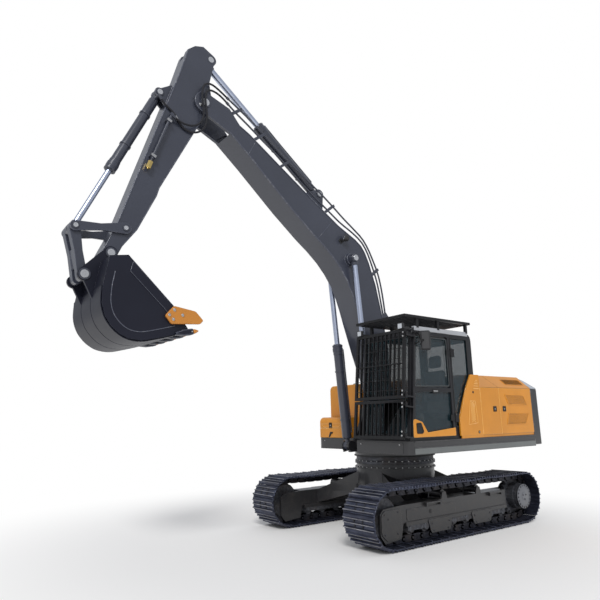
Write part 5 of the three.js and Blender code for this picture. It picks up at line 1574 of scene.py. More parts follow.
    def tool_box(self) -> None:
        """The lid's latch and fold, the pull below it, and the front plates of the deck."""
        face = Seat(here(0.532, 0, 0), *FRONT)
        spot = Seat(here(0.532, -1.045, 1.612), *FRONT)
        cup = oblong(-0.040, -0.048, 0.040, 0.048, 0.012)
        Batch("lid_latch", Coat.SEAL, "box_lid").at(
            spot, frame_of(cup, inset(cup, 0.010), PROUD, 0.007),
            prism(inset(cup, 0.014), PROUD, 0.004, 0.001)).make()
        key = lathe([(0.004, 0.012), (0.009, 0.012), (0.010, 0.008)], 16)
        Batch("lid_key", Coat.ZINC, "box_lid").at(spot, key).make()
        fold = anticlockwise([(-1.31, 1.640), (-1.24, 1.575), (-0.83, 1.575), (-0.74, 1.640)])
        # The fold in the lighter edge paint: a painted highlight along it.
        Batch("lid_fold", Coat.BODY_EDGE, "box_lid").at(
            face, frame_of(fold, inset(fold, 0.008), PROUD, 0.004)).make()
        pull = rounded([(-1.10, 1.405), (-1.065, 1.405), (-1.03, 1.46), (-0.985, 1.47),
                        (-0.985, 1.495), (-1.06, 1.495)], 0.008)
        Batch("box_pull", Coat.SEAL, UPPER).at(face, prism(pull, PROUD, 0.010, 0.002)).make()
        plate = Batch("deck_front", Coat.FRAME, UPPER)
        heads = Batch("deck_front_bolts", Coat.ZINC, UPPER)
        for x, corners, spots in (
                (0.540, [(-1.25, 1.215), (-0.56, 1.215), (-0.56, 1.375), (-1.28, 1.375)],
                 (-1.20, -0.62)),
                (1.150, [(0.36, 1.215), (1.28, 1.215), (1.28, 1.375), (0.36, 1.375)],
                 (0.42, 1.22))):
            plate.at(Seat(here(x, 0, 0), *FRONT),
                     prism(rounded(corners, 0.02), PROUD, 0.008, 0.003))
            for y in spots:
                heads.at(Seat(here(x + 0.008, y, 1.34), *FRONT), bolt(0.016, 0.009))
        plate.make(0.002)
        heads.make()

    def engine_bay(self) -> None:
        """A valve cover, filters and a hose on the plain engine, seen when the doors are open."""
        parts = Batch("engine_fittings", Coat.CAST, UPPER)
        parts.add(block(here(-1.85, -0.16, 2.1303), here(-1.28, 0.16, 2.19), 0.02))
        for x in (-1.80, -1.62):
            parts.at(Seat(here(x, 0.590, 1.72)), lathe(
                [(0.0, 0.045), (0.01, 0.052), (0.17, 0.052), (0.18, 0.045), (0.19, 0.02)], 24))
            parts.at(Seat(here(x, 0.5203, 1.90), (1, 0, 0), (0, 1, 0)),
                     lathe([(0.0, 0.03), (0.10, 0.03), (0.105, 0.02)], 16))
        parts.make(0.004)
        run = [here(-1.30, 0.5205, 1.60), here(-1.30, 0.62, 1.60), here(-1.28, 0.70, 1.66),
               here(-1.24, 0.72, 1.80), here(-1.22, 0.66, 1.95), here(-1.22, 0.5205, 2.00)]
        pipe = tube(smooth_path(run, 8), 0.03, 16)
        Batch("engine_pipes", Coat.HOSE, UPPER).add(pipe).make()


# ------------------------------------------------------------------ cab


@dataclass
class Pad:
    """A padded part of the seat, swollen by its filling."""

    name: str
    node: str
    low: Colour
    high: Colour
    lean: float = 0.0
    crown: float = 0.018
    voxel: float = 0.006
    frames: int = 20
    fill: float = 0.6

    def build(self) -> None:
        """Swell a slightly smaller block: voxel remesh, then cloth with inner pressure and no
        gravity for twenty frames; no point may move more than the crown. Then one subdivision."""
        points, faces = block(self.low, self.high, 0.028)
        points[:, 0] -= self.lean * (points[:, 2] - self.low[2])
        mesh = bpy.data.meshes.new(self.name)
        mesh.from_pydata(points.tolist(), [], faces)
        piece = bpy.data.objects.new(self.name, mesh)
        bpy.context.scene.collection.objects.link(piece)
        self.swell(piece)
        sub = piece.modifiers.new("smooth", "SUBSURF")
        sub.levels = sub.render_levels = 1
        piece.data.shade_smooth()
        piece.data.materials.append(Coat.CLOTH.material)
        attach(piece, UPPER)
        if self.node:
            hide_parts(self.node)
        LOG.info("%s: %d points", self.name, len(piece.data.vertices))

    def swell(self, piece: bpy.types.Object) -> None:
        """Run the filling's pressure and keep its result within the cap."""
        scene = bpy.context.scene
        remesh = piece.modifiers.new("remesh", "REMESH")
        remesh.mode = "VOXEL"
        remesh.voxel_size = self.voxel
        before = self.applied(piece)
        cloth = piece.modifiers.new("cloth", "CLOTH")
        cloth.settings.use_pressure = True
        cloth.settings.uniform_pressure_force = 4.0
        cloth.settings.effector_weights.gravity = 0.0
        cloth.settings.quality = 4
        cloth.point_cache.frame_start, cloth.point_cache.frame_end = 1, self.frames
        for step in range(1, self.frames + 1):
            scene.frame_set(step)
        move = self.applied(piece) - before
        scene.frame_set(1)
        size = np.linalg.norm(move, axis=1)[:, None]
        capped = before + move * np.minimum(1.0, self.crown / np.maximum(size, 1e-9))
        piece.data.vertices.foreach_set("co", capped.ravel())
        piece.data.update()

    @staticmethod
    def applied(piece: bpy.types.Object) -> Array:
        """Replace the piece's mesh with what its modifiers make of it, and return its points."""
        depsgraph = bpy.context.evaluated_depsgraph_get()
        result = bpy.data.meshes.new_from_object(piece.evaluated_get(depsgraph))
        piece.modifiers.clear()
        piece.data = result
        points = np.zeros(len(result.vertices) * 3)
        result.vertices.foreach_get("co", points)
        return points.reshape(-1, 3)


@dataclass
class Cab:
    """The cab with its door, glass, seals, lamps, mirror, guards and inside."""

    sill: float = 1.390
    front_low: float = 1.080
    lean: float = 0.1007

    def front(self, z: float) -> float:
        """Machine x of the cab's front at a height."""
        return self.front_low - (z - self.sill) * self.lean

    def build(self) -> None:
        """Dress the shell and guards and add the fittings."""
        dressed("cab_shell", Coat.CAB, 0.006)
        dressed("cab_door", Coat.CAB, 0.004)
        for name in ("front", "right", "rear", "quarter", "door"):
            dressed(f"{name}_window", Coat.GLASS)
        for node in ("guard_upper", "guard_lower", "roof_guard"):
            dressed(node, Coat.GUARD, 0.003)
        self.door()
        self.seals()
        self.guards()
        self.mirror()
        self.lamps()
        self.seat()
        self.controls()

    def door(self) -> None:
        """Lower cover in the body's finish, its handle cup, rail catch and hinges."""
        seat = wall(1)
        cover = wall_plate([(0.098, 1.440), (1.052, 1.440), (1.040, 1.685), (1.000, 1.700),
                            (0.850, 1.655), (0.742, 1.505), (0.098, 1.560)], 0.018, 0.008, 0.003)
        Batch("door_cover", Coat.BODY, "door").at(seat, cover).make(0.002)
        cup = rounded(on_wall(1, [(0.985, 1.492), (0.988, 1.642), (0.885, 1.645),
                                  (0.832, 1.522), (0.860, 1.490)]), 0.02)
        grip = [(0.972, 1.590), (0.972, 1.622), (0.880, 1.622), (0.868, 1.590)]
        rail = [(0.575, 2.072), (0.445, 2.074), (0.445, 2.128), (0.575, 2.128)]
        catch = [(0.558, 2.092), (0.462, 2.094), (0.462, 2.112), (0.558, 2.112)]
        Batch("door_handle", Coat.SEAL, "door").at(
            seat, frame_of(cup, inset(cup, 0.010), 0.0083, 0.014),
            prism(inset(cup, 0.008), 0.0083, 0.0095), wall_plate(grip, 0.008, 0.020, 0.004, 0.0098),
            wall_plate(rail, 0.012, 0.008)).make()
        Batch("door_catch", Coat.ZINC, "door").at(
            seat, wall_plate(catch, 0.008, 0.016, 0.003, 0.0083)).make()
        leaves = Batch("door_hinge_leaves", Coat.GUARD, "door")
        pins = Batch("door_hinge_pins", Coat.GUARD, UPPER)
        for z in (1.66, 2.66):
            leaf = oblong(0.100, z, 0.190, z + 0.09, 0.01)
            fixed = oblong(-0.010, z - 0.02, 0.058, z + 0.11, 0.01)
            leaves.at(seat, prism(on_wall(1, leaf), PROUD, 0.008, 0.002))
            leaves.at(Seat(here(0.078, 1.402, z + 0.021)), knuckle(0.048))
            for dz in (-0.024, 0.070):
                pins.at(Seat(here(0.078, 1.402, z + dz)), knuckle(0.044))
            pins.at(seat, prism(on_wall(1, fixed), -0.030, 0.004, 0.002))
        leaves.make()
        pins.make()

    def seals(self) -> None:
        """Rubber round the panes, the roof's rain strip, and the wiper."""
        pane = rounded(on_wall(1, [(0.158, 2.168), (0.975, 2.150), (0.905, 2.925),
                                   (0.158, 2.925)]), 0.05)
        inner = inset(pane, 0.016)
        Batch("door_seal", Coat.SEAL, "door").at(
            wall(1), frame_of(pane, inner, PROUD, 0.004)).make()
        Batch("door_bead", Coat.SILVER_GREY, "door").at(
            wall(1), frame_of(inner, inset(pane, 0.021), PROUD, 0.0025)).make()
        quarter = rounded(on_wall(1, [(-0.325, 1.995), (-0.120, 1.570), (0.024, 1.570),
                                      (0.024, 2.950), (-0.395, 2.950), (-0.395, 2.420)]), 0.03)
        Batch("quarter_seal", Coat.SEAL, UPPER).at(
            wall(1, 1.360), frame_of(inset(quarter, -0.012), inset(quarter, 0.010), 0.0004,
                                     0.006)).make()
        Batch("roof_strip", Coat.SILVER, UPPER).add(
            block(here(-0.43, 1.3604, 3.002), here(0.86, 1.376, 3.062), 0.005),
            block(here(-0.43, 1.318, 3.0504), here(0.86, 1.376, 3.074), 0.005)).make(0.003)
        path = [here(self.front(z) - gap, y, z)
                for y, z, gap in ((0.60, 2.78, 0.006), (0.66, 2.4, 0.002), (0.72, 1.95, 0.004))]
        Batch("wiper", Coat.SEAL, UPPER).add(tube(smooth_path(path, 6), 0.007, 8)).make()

    def guards(self) -> None:
        """Thin cross rods of the upper guard, and the bolts of both guards' hinges."""
        tilt = 1.0 / math.hypot(1.0, self.lean)
        out = (tilt, 0.0, self.lean * tilt)
        half_bar = 0.0175
        plane = 0.150 + half_bar
        rods = Batch("guard_rods", Coat.GUARD, "upper_guard")
        for z in np.linspace(2.12, 2.88, 6):
            x = self.front(float(z)) + plane
            rods.add(tube([here(x, y, z) for y in (0.372, 0.865, 1.358)], 0.005, 8))
        rods.make()
        for body, levels in (("upper_guard", (2.045, 2.10, 2.90, 2.955)),
                             ("lower_guard", (1.475, 1.53, 1.87, 1.925))):
            heads = Batch(f"{body}_bolts", Coat.ZINC, body)
            for z in levels:
                spot = here(self.front(z) + plane + half_bar / tilt, 1.366, z)
                heads.at(Seat(spot, (0, 1, 0), out), bolt(0.018, 0.011))
            heads.make()

    def mirror(self) -> None:
        """The left mirror on its bent tubes, on the door's front edge."""
        seat = Seat(here(0.740, 1.472, 2.845), (-0.64, 0.77, 0.0), (-0.77, -0.64, -0.05))
        outline = oblong(-0.076, -0.150, 0.076, 0.150, 0.03)
        Batch("mirror_case", Coat.TRIM, "door").at(
            seat, prism(outline, -0.016, 0.010, 0.003),
            prism(inset(outline, 0.012), -0.034, -0.012, 0.012)).make()
        Batch("mirror_glass", Coat.MIRROR, "door").at(
            seat, prism(inset(outline, 0.008), 0.0103, 0.0115)).make()
        arm = Batch("mirror_arm", Coat.GUARD, "door")
        for run in (((0.895, 1.404, 2.800), (0.900, 1.450, 2.800), (0.885, 1.480, 2.830),
                     (0.845, 1.490, 2.850), (0.764, 1.470, 2.850)),
                    ((0.880, 1.404, 2.955), (0.885, 1.450, 2.960), (0.880, 1.485, 2.930),
                     (0.874, 1.486, 2.850))):
            x, _, z = run[0]
            arm.add(tube(smooth_path([here(*point) for point in run], 8), 0.009, 12))
            arm.at(Seat(here(x, 1.400, z), (1, 0, 0), (0, 1, 0)),
                   lathe([(PROUD, 0.022), (0.005, 0.022), (0.008, 0.014)], 18))
        arm.make()

    def lamps(self) -> None:
        """Square work lamps on brackets at the roof's front corners, and the roof hatch."""
        square = oblong(-0.050, -0.045, 0.050, 0.045, 0.012)
        bracket = [(-0.012, -0.040), (0.012, -0.040), (0.012, 0.000), (-0.012, 0.000)]
        for y, name in ((1.306, "left"), (0.423, "right")):
            seat = Seat(here(1.030, y, 3.058), *FRONT)
            Batch(f"roof_lamp_case_{name}", Coat.TRIM, UPPER).at(
                seat, prism(square, 0.020, 0.066, 0.004),
                frame_of(square, inset(square, 0.007), 0.0663, 0.074),
                prism(bracket, -0.130, 0.022)).make()
            lens = prism(inset(square, 0.0075), 0.0663, 0.0705, 0.002)
            Batch(f"roof_lamp_{name}", Coat.LENS, UPPER).at(seat, lens).make()
        hatch = prism(oblong(0.07, 0.55, 0.69, 1.17, 0.04), 0.0005, 0.012, 0.004)
        Batch("roof_hatch", Coat.CAB, UPPER).at(Seat(here(0, 0, 3.050)), hatch).make()

    def seat(self) -> None:
        """Padded cushion, back and head rest on their base."""
        Pad("seat_cushion_pad", "seat_cushion", here(-0.015, 0.635, 1.800),
            here(0.450, 1.085, 1.895)).build()
        Pad("seat_back_pad", "seat_back", here(-0.150, 0.650, 1.860),
            here(-0.045, 1.070, 2.480), 0.11).build()
        Pad("head_rest_pad", "", here(-0.225, 0.740, 2.520),
            here(-0.135, 0.980, 2.720), 0.10, 0.012).build()
        dressed("seat_base", Coat.LINING, 0.010)

    def controls(self) -> None:
        """Levers, pedals with their rods, and the gauge panel."""
        stalks = Batch("levers", Coat.TRIM, UPPER)
        for y in (0.490, 1.215):
            stem = [here(0.46, y, 1.960), here(0.475, y, 2.02), here(0.485, y, 2.10)]
            stalks.add(tube(smooth_path(stem, 5), 0.011, 12))
            stalks.at(Seat(here(0.485, y, 2.095), (1, 0, 0), (0.12, 0, 1)),
                      lathe([(0.0, 0.018), (0.012, 0.026), (0.05, 0.022), (0.095, 0.024),
                             (0.118, 0.020), (0.122, 0.008)], 18))
            stalks.at(Seat(here(0.46, y, 1.9603)),
                      lathe([(0.0, 0.040), (0.012, 0.032), (0.02, 0.030), (0.028, 0.022),
                             (0.036, 0.020), (0.044, 0.013)], 20))
        for y in (0.740, 0.980):
            rod = [here(x, y, z)
                   for x, z in ((0.80, 1.482), (0.79, 1.80), (0.74, 2.10), (0.73, 2.20))]
            stalks.add(tube(smooth_path(rod, 6), 0.010, 10))
            stalks.add(block(here(0.70, y - 0.055, 1.4815), here(0.93, y + 0.055, 1.500), 0.006))
        stalks.make()
        seat = Seat(here(0.78, 0.4055, 2.16), (0.3, 1.0, 0.0), (-1.0, 0.3, 0.15))
        panel = Batch("gauge_panel", Coat.LINING, UPPER)
        panel.at(seat, prism(oblong(0.01, -0.08, 0.19, 0.08, 0.02), -0.035, 0.0, 0.006))
        panel.add(block(here(-0.45, 0.45, 1.4815), here(-0.24, 1.27, 1.98), 0.02)).make(0.003)
        face = prism(oblong(0.025, -0.065, 0.175, 0.065, 0.01), PROUD, 0.002)
        Batch("gauge_glass", Coat.SEAL, UPPER).at(seat, face).make()


# ------------------------------------------------------------------ front attachment


@dataclass
class Pin:
    """A hinge pin's visible end: a collar, the turned pin face, and its retaining bolt."""

    name: str
    body: str
    seat: Seat
    radius: float
    bolt_at: tuple[float, float] | None = None
    proud: float = 0.018

    def build(self) -> None:
        """Make collar, face and bolt."""
        r, high = self.radius, self.proud
        collar = ring(r * 1.02, r * 1.42, 0.0004, high * 0.66, 40, high * 0.2)
        Batch(self.name + "_collar", Coat.SLATE, self.body).at(self.seat, collar).make()
        face = lathe([(0.0004, r), (high * 0.78, r), (high, r * 0.92), (high, r * 0.52),
                      (high * 0.9, r * 0.50), (high * 0.9, r * 0.2), (high, r * 0.18),
                      (high, r * 0.05)], 40)
        Batch(self.name, Coat.SILVER, self.body).at(self.seat, face).make()
        if self.bolt_at:
            washer = lathe([(0.0004, 0.026), (0.008, 0.026), (0.010, 0.022)], 20)
            head = moved(bolt(0.024, 0.016), Seat((0, 0, 0.010)).matrix())
            place = Seat((*self.bolt_at, 0)).matrix()
            Batch(self.name + "_bolt", Coat.ZINC, self.body).at(
                self.seat, moved(joined([washer, head]), place)).make()


def pins(name: str, body: str, side: Side, s: float, n: float, y: float, radius: float,
         bolt_at: tuple[float, float] | None = None, proud: float = 0.018) -> None:
    """Pin ends on both faces of a link; a name or body with {} takes left or right in it."""
    for sign, label in SIDES:
        seat = side.seat(s, sign * y, n, (0, sign, 0))
        Pin(f"{name}_{label}", body.format(label), seat, radius, bolt_at, proud).build()


def edge_band(points: Sequence[tuple[float, float]], near: float, far: float) -> Array:
    """Strip beside an open run of points: the run moved square to itself by two distances."""
    p = np.asarray(points, float)
    way = np.gradient(p, axis=0)
    way /= np.linalg.norm(way, axis=1)[:, None]
    right = np.stack([way[:, 1], -way[:, 0]], 1)
    return np.concatenate([p + right * near, (p + right * far)[::-1]])


def across(side: Side, shell: Shell) -> Shell:
    """Shell drawn in s and n with its thickness along y, carried to the common frame."""
    points, faces = shell
    return moved((points[:, [0, 2, 1]], [face[::-1] for face in faces]), side.matrix())


def proud_edges(side: Side, half: float, thick: float, reach: float,
                runs: Sequence[Sequence[tuple[float, float]]]) -> list[Shell]:
    """Strips that stand proud along the edges of both side plates of a link."""
    return [across(side, prism(edge_band(run, 0.004, reach), y, y + thick, 0.002))
            for y in (half + 0.0004, -half - 0.0004 - thick) for run in runs]


@dataclass
class Boom:
    """The boom: plates with proud edges, weld beads, pins, work lamp and pipe clamps."""

    half: float = 0.220
    top: tuple = (
        (0.110, 0.120), (0.700, 0.610), (1.225, 0.900), (1.721, 1.140), (2.112, 1.275),
        (2.300, 1.318), (2.441, 1.322), (2.600, 1.275), (2.978, 1.095), (3.645, 0.865),
        (4.389, 0.625), (5.000, 0.430), (5.180, 0.350))
    under: tuple = (
        (5.160, 0.092), (4.632, 0.197), (3.750, 0.345), (3.162, 0.472), (2.878, 0.550),
        (2.608, 0.602), (2.368, 0.618), (2.126, 0.606), (1.870, 0.544), (1.662, 0.473),
        (1.434, 0.385), (0.900, 0.190), (0.140, -0.060))
    rod_pin: tuple[float, float] = (2.384, 0.906)

    def build(self) -> None:
        """Dress the boom and its pipes, then add edges, beads, pins, lamp and bolts."""
        dressed("boom", Coat.SLATE, 0.006)
        dressed("boom_pipes", Coat.SLATE, 0.002)
        # Proud edge strips in the lighter edge paint: a painted highlight along the plates' edges.
        Batch("boom_edges", Coat.SLATE_EDGE, "boom").add(
            *proud_edges(BOOM, self.half, 0.008, 0.020, (self.top, self.under))).make()
        self.beads()
        pins("boom_rod_pin", "boom_cylinder_{}_rod", BOOM, *self.rod_pin, 0.3765, 0.052)
        pins("boom_tip_pin", "boom", BOOM, 5.708, 0.0, self.half, 0.058, (0.0, 0.105))
        pins("arm_ram_pin", "boom", BOOM, 3.597, 1.208, 0.096, 0.046)
        pins("boom_foot_pin", UPPER, BOOM, 0.0, 0.0, 0.2755, 0.060, (-0.095, 0.0))
        self.lamp()
        heads = Batch("clamp_bolts", Coat.ZINC, "boom")
        for s, n in ((1.162, 1.020), (1.900, 1.405), (3.300, 1.258), (4.330, 0.900),
                     (4.900, 0.730), (5.400, 0.562)):
            heads.at(BOOM.seat(s, 0.195, n + PROUD, (0, 0, 1)), bolt(0.018, 0.012))
        heads.make()

    def beads(self) -> None:
        """Weld beads over the plates' joints and round the rod pin's boss, in the lighter edge
        paint as a painted highlight.
        """
        beads = Batch("boom_welds", Coat.SLATE_EDGE, "boom")
        arc = np.radians(np.linspace(0, 360, 33))
        s, n = self.rod_pin[0] + 0.112 * np.cos(arc), self.rod_pin[1] + 0.112 * np.sin(arc)
        for y in (self.half, -self.half):
            for a, b in (((1.31, 0.37), (1.20, 0.85)), ((3.02, 0.54), (3.10, 1.02)),
                         ((4.75, 0.21), (4.85, 0.43))):
                run = np.linspace((a[0], y, a[1]), (b[0], y, b[1]), 3)
                beads.add(moved(tube(run, 0.006, 8), BOOM.matrix()))
            run = np.stack([s, np.full(33, y), n], 1)
            beads.add(moved(tube(run, 0.006, 8), BOOM.matrix()))
        beads.make()

    def lamp(self) -> None:
        """Round work lamp on a bracket on the left plate."""
        seat = BOOM.seat(2.746, 0.292, 1.020, (0.75, -0.45, -0.48))
        case = Batch("boom_lamp_case", Coat.TRIM, "boom")
        case.at(seat, lathe([(-0.062, 0.022), (-0.058, 0.040), (-0.020, 0.060), (0.020, 0.064),
                             (0.026, 0.064), (0.026, 0.056), (0.020, 0.054), (0.020, 0.01)], 32))
        for low, high in (((2.715, 0.2204, 0.940), (2.765, 0.298, 0.952)),
                          ((2.700, 0.2204, 0.915), (2.780, 0.228, 0.985))):
            case.add(moved(block(low, high, 0.003), BOOM.matrix()))
        case.make()
        lens = lathe([(0.0203, 0.053), (0.024, 0.050), (0.027, 0.030), (0.028, 0.005)], 32)
        Batch("boom_lamp", Coat.LENS, "boom").at(seat, lens).make()


@dataclass
class Arm:
    """The arm: plates with proud edges, pins, and its pipe's straps and valve."""

    half: float = 0.1675
    top: tuple = ((-0.607, 0.623), (-0.155, 0.535), (1.000, 0.3543), (2.304, 0.149), (2.600, 0.110))
    under: tuple = ((2.700, -0.088), (2.382, -0.140), (1.781, -0.124), (1.658, -0.100),
                    (0.410, -0.102))
    pipe_start: tuple[float, float] = (0.592, 0.303)
    pipe_end: tuple[float, float] = (1.391, 0.200)

    def build(self) -> None:
        """Dress the arm and what it carries."""
        dressed("arm", Coat.SLATE, 0.005)
        dressed("arm_pipe", Coat.SLATE, 0.003)
        dressed("hose_union", Coat.ZINC)
        # Proud edge strips in the lighter edge paint: a painted highlight along the plates' edges.
        Batch("arm_edges", Coat.SLATE_EDGE, "arm").add(
            *proud_edges(ARM, self.half, 0.007, 0.018, (self.top, self.under))).make()
        pins("arm_rod_pin", "arm", ARM, -0.767, 0.262, self.half, 0.048, None, 0.004)
        pins("bucket_ram_pin", "arm", ARM, 0.299, 0.595, 0.082, 0.042)
        pins("rocker_pin", "rocker", ARM, 2.473, 0.0, 0.206, 0.030)
        self.pipe()

    def pipe(self) -> None:
        """Zinc straps over the arm's pipe, and the brass valve at its end."""
        a, b = np.array(self.pipe_start), np.array(self.pipe_end)
        way = (b - a) / np.linalg.norm(b - a)
        slope = way[1] / way[0]
        straps = Batch("pipe_straps", Coat.ZINC, "arm")
        for s in (0.705, 1.340):
            n = a[1] + slope * (s - a[0])
            strap = block((s - 0.022, 0.166, n - 0.0395), (s + 0.022, 0.2568, n + 0.0395), 0.006)
            straps.add(moved(strap, ARM.matrix()))
            for dn in (-0.026, 0.026):
                straps.at(ARM.seat(s, 0.2568, n + dn), bolt(0.010, 0.007))
        straps.make()
        start = ARM.point(1.440, 0.227, float(a[1] + slope * (1.440 - a[0])))
        along = ARM.matrix()[:3, :3] @ np.array((way[0], 0.0, way[1]))
        Batch("pipe_valve", Coat.BRASS, "arm").at(
            Seat(start, tuple(along[[1, 0, 2]]), tuple(along)),
            lathe([(-0.003, 0.030), (0.0, 0.037), (0.104, 0.037), (0.110, 0.030)], 6),
            lathe([(0.1105, 0.019), (0.122, 0.019), (0.125, 0.013)], 16)).make()


@dataclass
class Bucket:
    """The bucket: side reinforcements, wear straps, weld beads, cutters and teeth."""

    half: float = 0.600
    back: tuple = (
        (0.106, 0.330), (0.225, 0.500), (0.365, 0.648), (0.500, 0.728), (0.630, 0.757),
        (0.760, 0.752), (0.880, 0.712), (1.009, 0.610), (1.130, 0.430), (1.257, 0.215),
        (1.335, 0.085))
    tooth_rows: tuple = (-0.60, -0.30, 0.0, 0.30, 0.60)

    def build(self) -> None:
        """Dress the bowl and add its wearing parts."""
        dressed("bucket", Coat.BUCKET, 0.008)
        for node in ("rocker_link_left", "rocker_link_right", "h_link"):
            dressed(node, Coat.SLATE, 0.006)
        self.sides()
        self.straps()
        self.cutters()
        self.teeth()
        pins("bucket_pin", "bucket", BUCKET, 0.0, 0.0, 0.252, 0.048)
        link = np.linalg.inv(BUCKET.matrix()) @ np.array((*here(5.355, -0.1, 3.502), 1.0))
        pins("link_pin", "bucket", BUCKET, float(link[0]), float(link[2]), 0.252, 0.052)
        for sign, name in SIDES:
            spot = here(5.487, -0.1 + sign * 0.206, 4.116)
            Pin(f"rocker_end_pin_{name}", "rocker", Seat(spot, (1, 0, 0), (0, sign, 0)),
                0.030).build()

    def sides(self) -> None:
        """Plates along the mouth, and a weld bead inside the bowl's round edge, in the lighter edge
        paint as a painted highlight.
        """
        plates = Batch("bucket_side_plates", Coat.BUCKET, "bucket")
        beads = Batch("bucket_welds", Coat.SLATE_EDGE, "bucket")
        mouth = rounded([(0.235, 0.010), (0.966, 0.003), (1.215, 0.040), (1.160, 0.145),
                         (0.930, 0.120), (0.300, 0.130)], 0.02, 3)
        run = edge_band(smooth_path(self.back[:-1], 5), 0.105, 0.106)
        run = run[:len(run) // 2]
        for sign, low in ((1, self.half + 0.0004), (-1, -self.half - 0.0124)):
            plates.add(across(BUCKET, prism(mouth, low, low + 0.012, 0.003)))
            y = np.full(len(run), sign * (self.half + 0.001))
            path = np.column_stack([run[:, 0], y, run[:, 1]])
            beads.add(moved(tube(path, 0.006, 8), BUCKET.matrix()))
        plates.make(0.002)
        beads.make()

    def straps(self) -> None:
        """Three broad wear straps wrapped over the bowl's back."""
        outline = edge_band(smooth_path(self.back[1:], 4), -0.0004, -0.0130)
        half = 0.189
        Batch("bucket_straps", Coat.BUCKET, "bucket").add(*(
            across(BUCKET, prism(outline, y - half, y + half, 0.003))
            for y in (-0.392, 0.0, 0.392))).make()

    def cutters(self) -> None:
        """Bolted side cutters of thick plate, and their bolts."""
        plate = rounded([(0.979, 0.186), (0.970, 0.011), (1.216, -0.165), (1.373, -0.162),
                         (1.375, -0.094), (1.112, 0.198)], 0.02, 3)
        cutters = Batch("side_cutters", Coat.TOOTH, "bucket")
        heads = Batch("cutter_bolts", Coat.ZINC, "bucket")
        for sign, low in ((1, self.half + 0.0128), (-1, -self.half - 0.0478)):
            cutters.add(across(BUCKET, prism(plate, low, low + 0.035, 0.006)))
            for s, n in ((1.010, 0.140), (1.010, 0.045), (1.085, 0.140), (1.130, 0.010)):
                face = BUCKET.seat(s, sign * (self.half + 0.0478), n, (0, sign, 0))
                heads.at(face, bolt(0.028, 0.018))
        cutters.make(0.003)
        heads.make()

    def teeth(self) -> None:
        """Cast adapters over the lip, each with a wedge tooth; sections shrink along the tooth."""
        lip = np.array(self.back[-1]) + np.array((0.004, 0.010))
        way = np.array((0.585, -0.811))
        adapters = Batch("tooth_adapters", Coat.BUCKET, "bucket")
        teeth = Batch("teeth", Coat.TOOTH, "bucket")
        heads = Batch("tooth_pins", Coat.ZINC, "bucket")
        turn = BUCKET.matrix()[:3, :3]
        axis = turn @ np.array((way[0], 0.0, way[1]))
        normal = turn @ np.array((-way[1], 0.0, way[0]))
        for y in self.tooth_rows:
            seat = Seat(BUCKET.point(float(lip[0]), y, float(lip[1])), tuple(normal), tuple(axis))
            adapters.at(seat, self.wedge(((-0.170, 0.034, 0.090), (-0.070, 0.078, 0.104),
                                          (0.045, 0.080, 0.106), (0.065, 0.070, 0.096))))
            teeth.at(seat, self.wedge(((0.060, 0.062, 0.088), (0.090, 0.056, 0.086),
                                       (0.118, 0.036, 0.080), (0.140, 0.012, 0.070))))
            spot = np.array(seat.origin) + axis * 0.040 + np.array((0, 0.0532, 0))
            heads.at(Seat(tuple(spot), (1, 0, 0), (0, 1, 0)),
                     lathe([(0.0, 0.010), (0.004, 0.010), (0.005, 0.007)], 12))
        adapters.make(0.004)
        teeth.make(0.004)
        heads.make()

    @staticmethod
    def wedge(stations: Sequence[tuple[float, float, float]]) -> Shell:
        """Chamfered rectangles of given height and width, one behind the other."""
        rings = []
        for at, high, wide in stations:
            cut = min(0.010, 0.3 * high)
            h, w = high / 2, wide / 2
            corners = [(-h, -w + cut), (-h + cut, -w), (h - cut, -w), (h, -w + cut),
                       (h, w - cut), (h - cut, w), (-h + cut, w), (-h, w - cut)]
            rings.append([(a, b, at) for a, b in corners])
        return loft(np.array(rings))


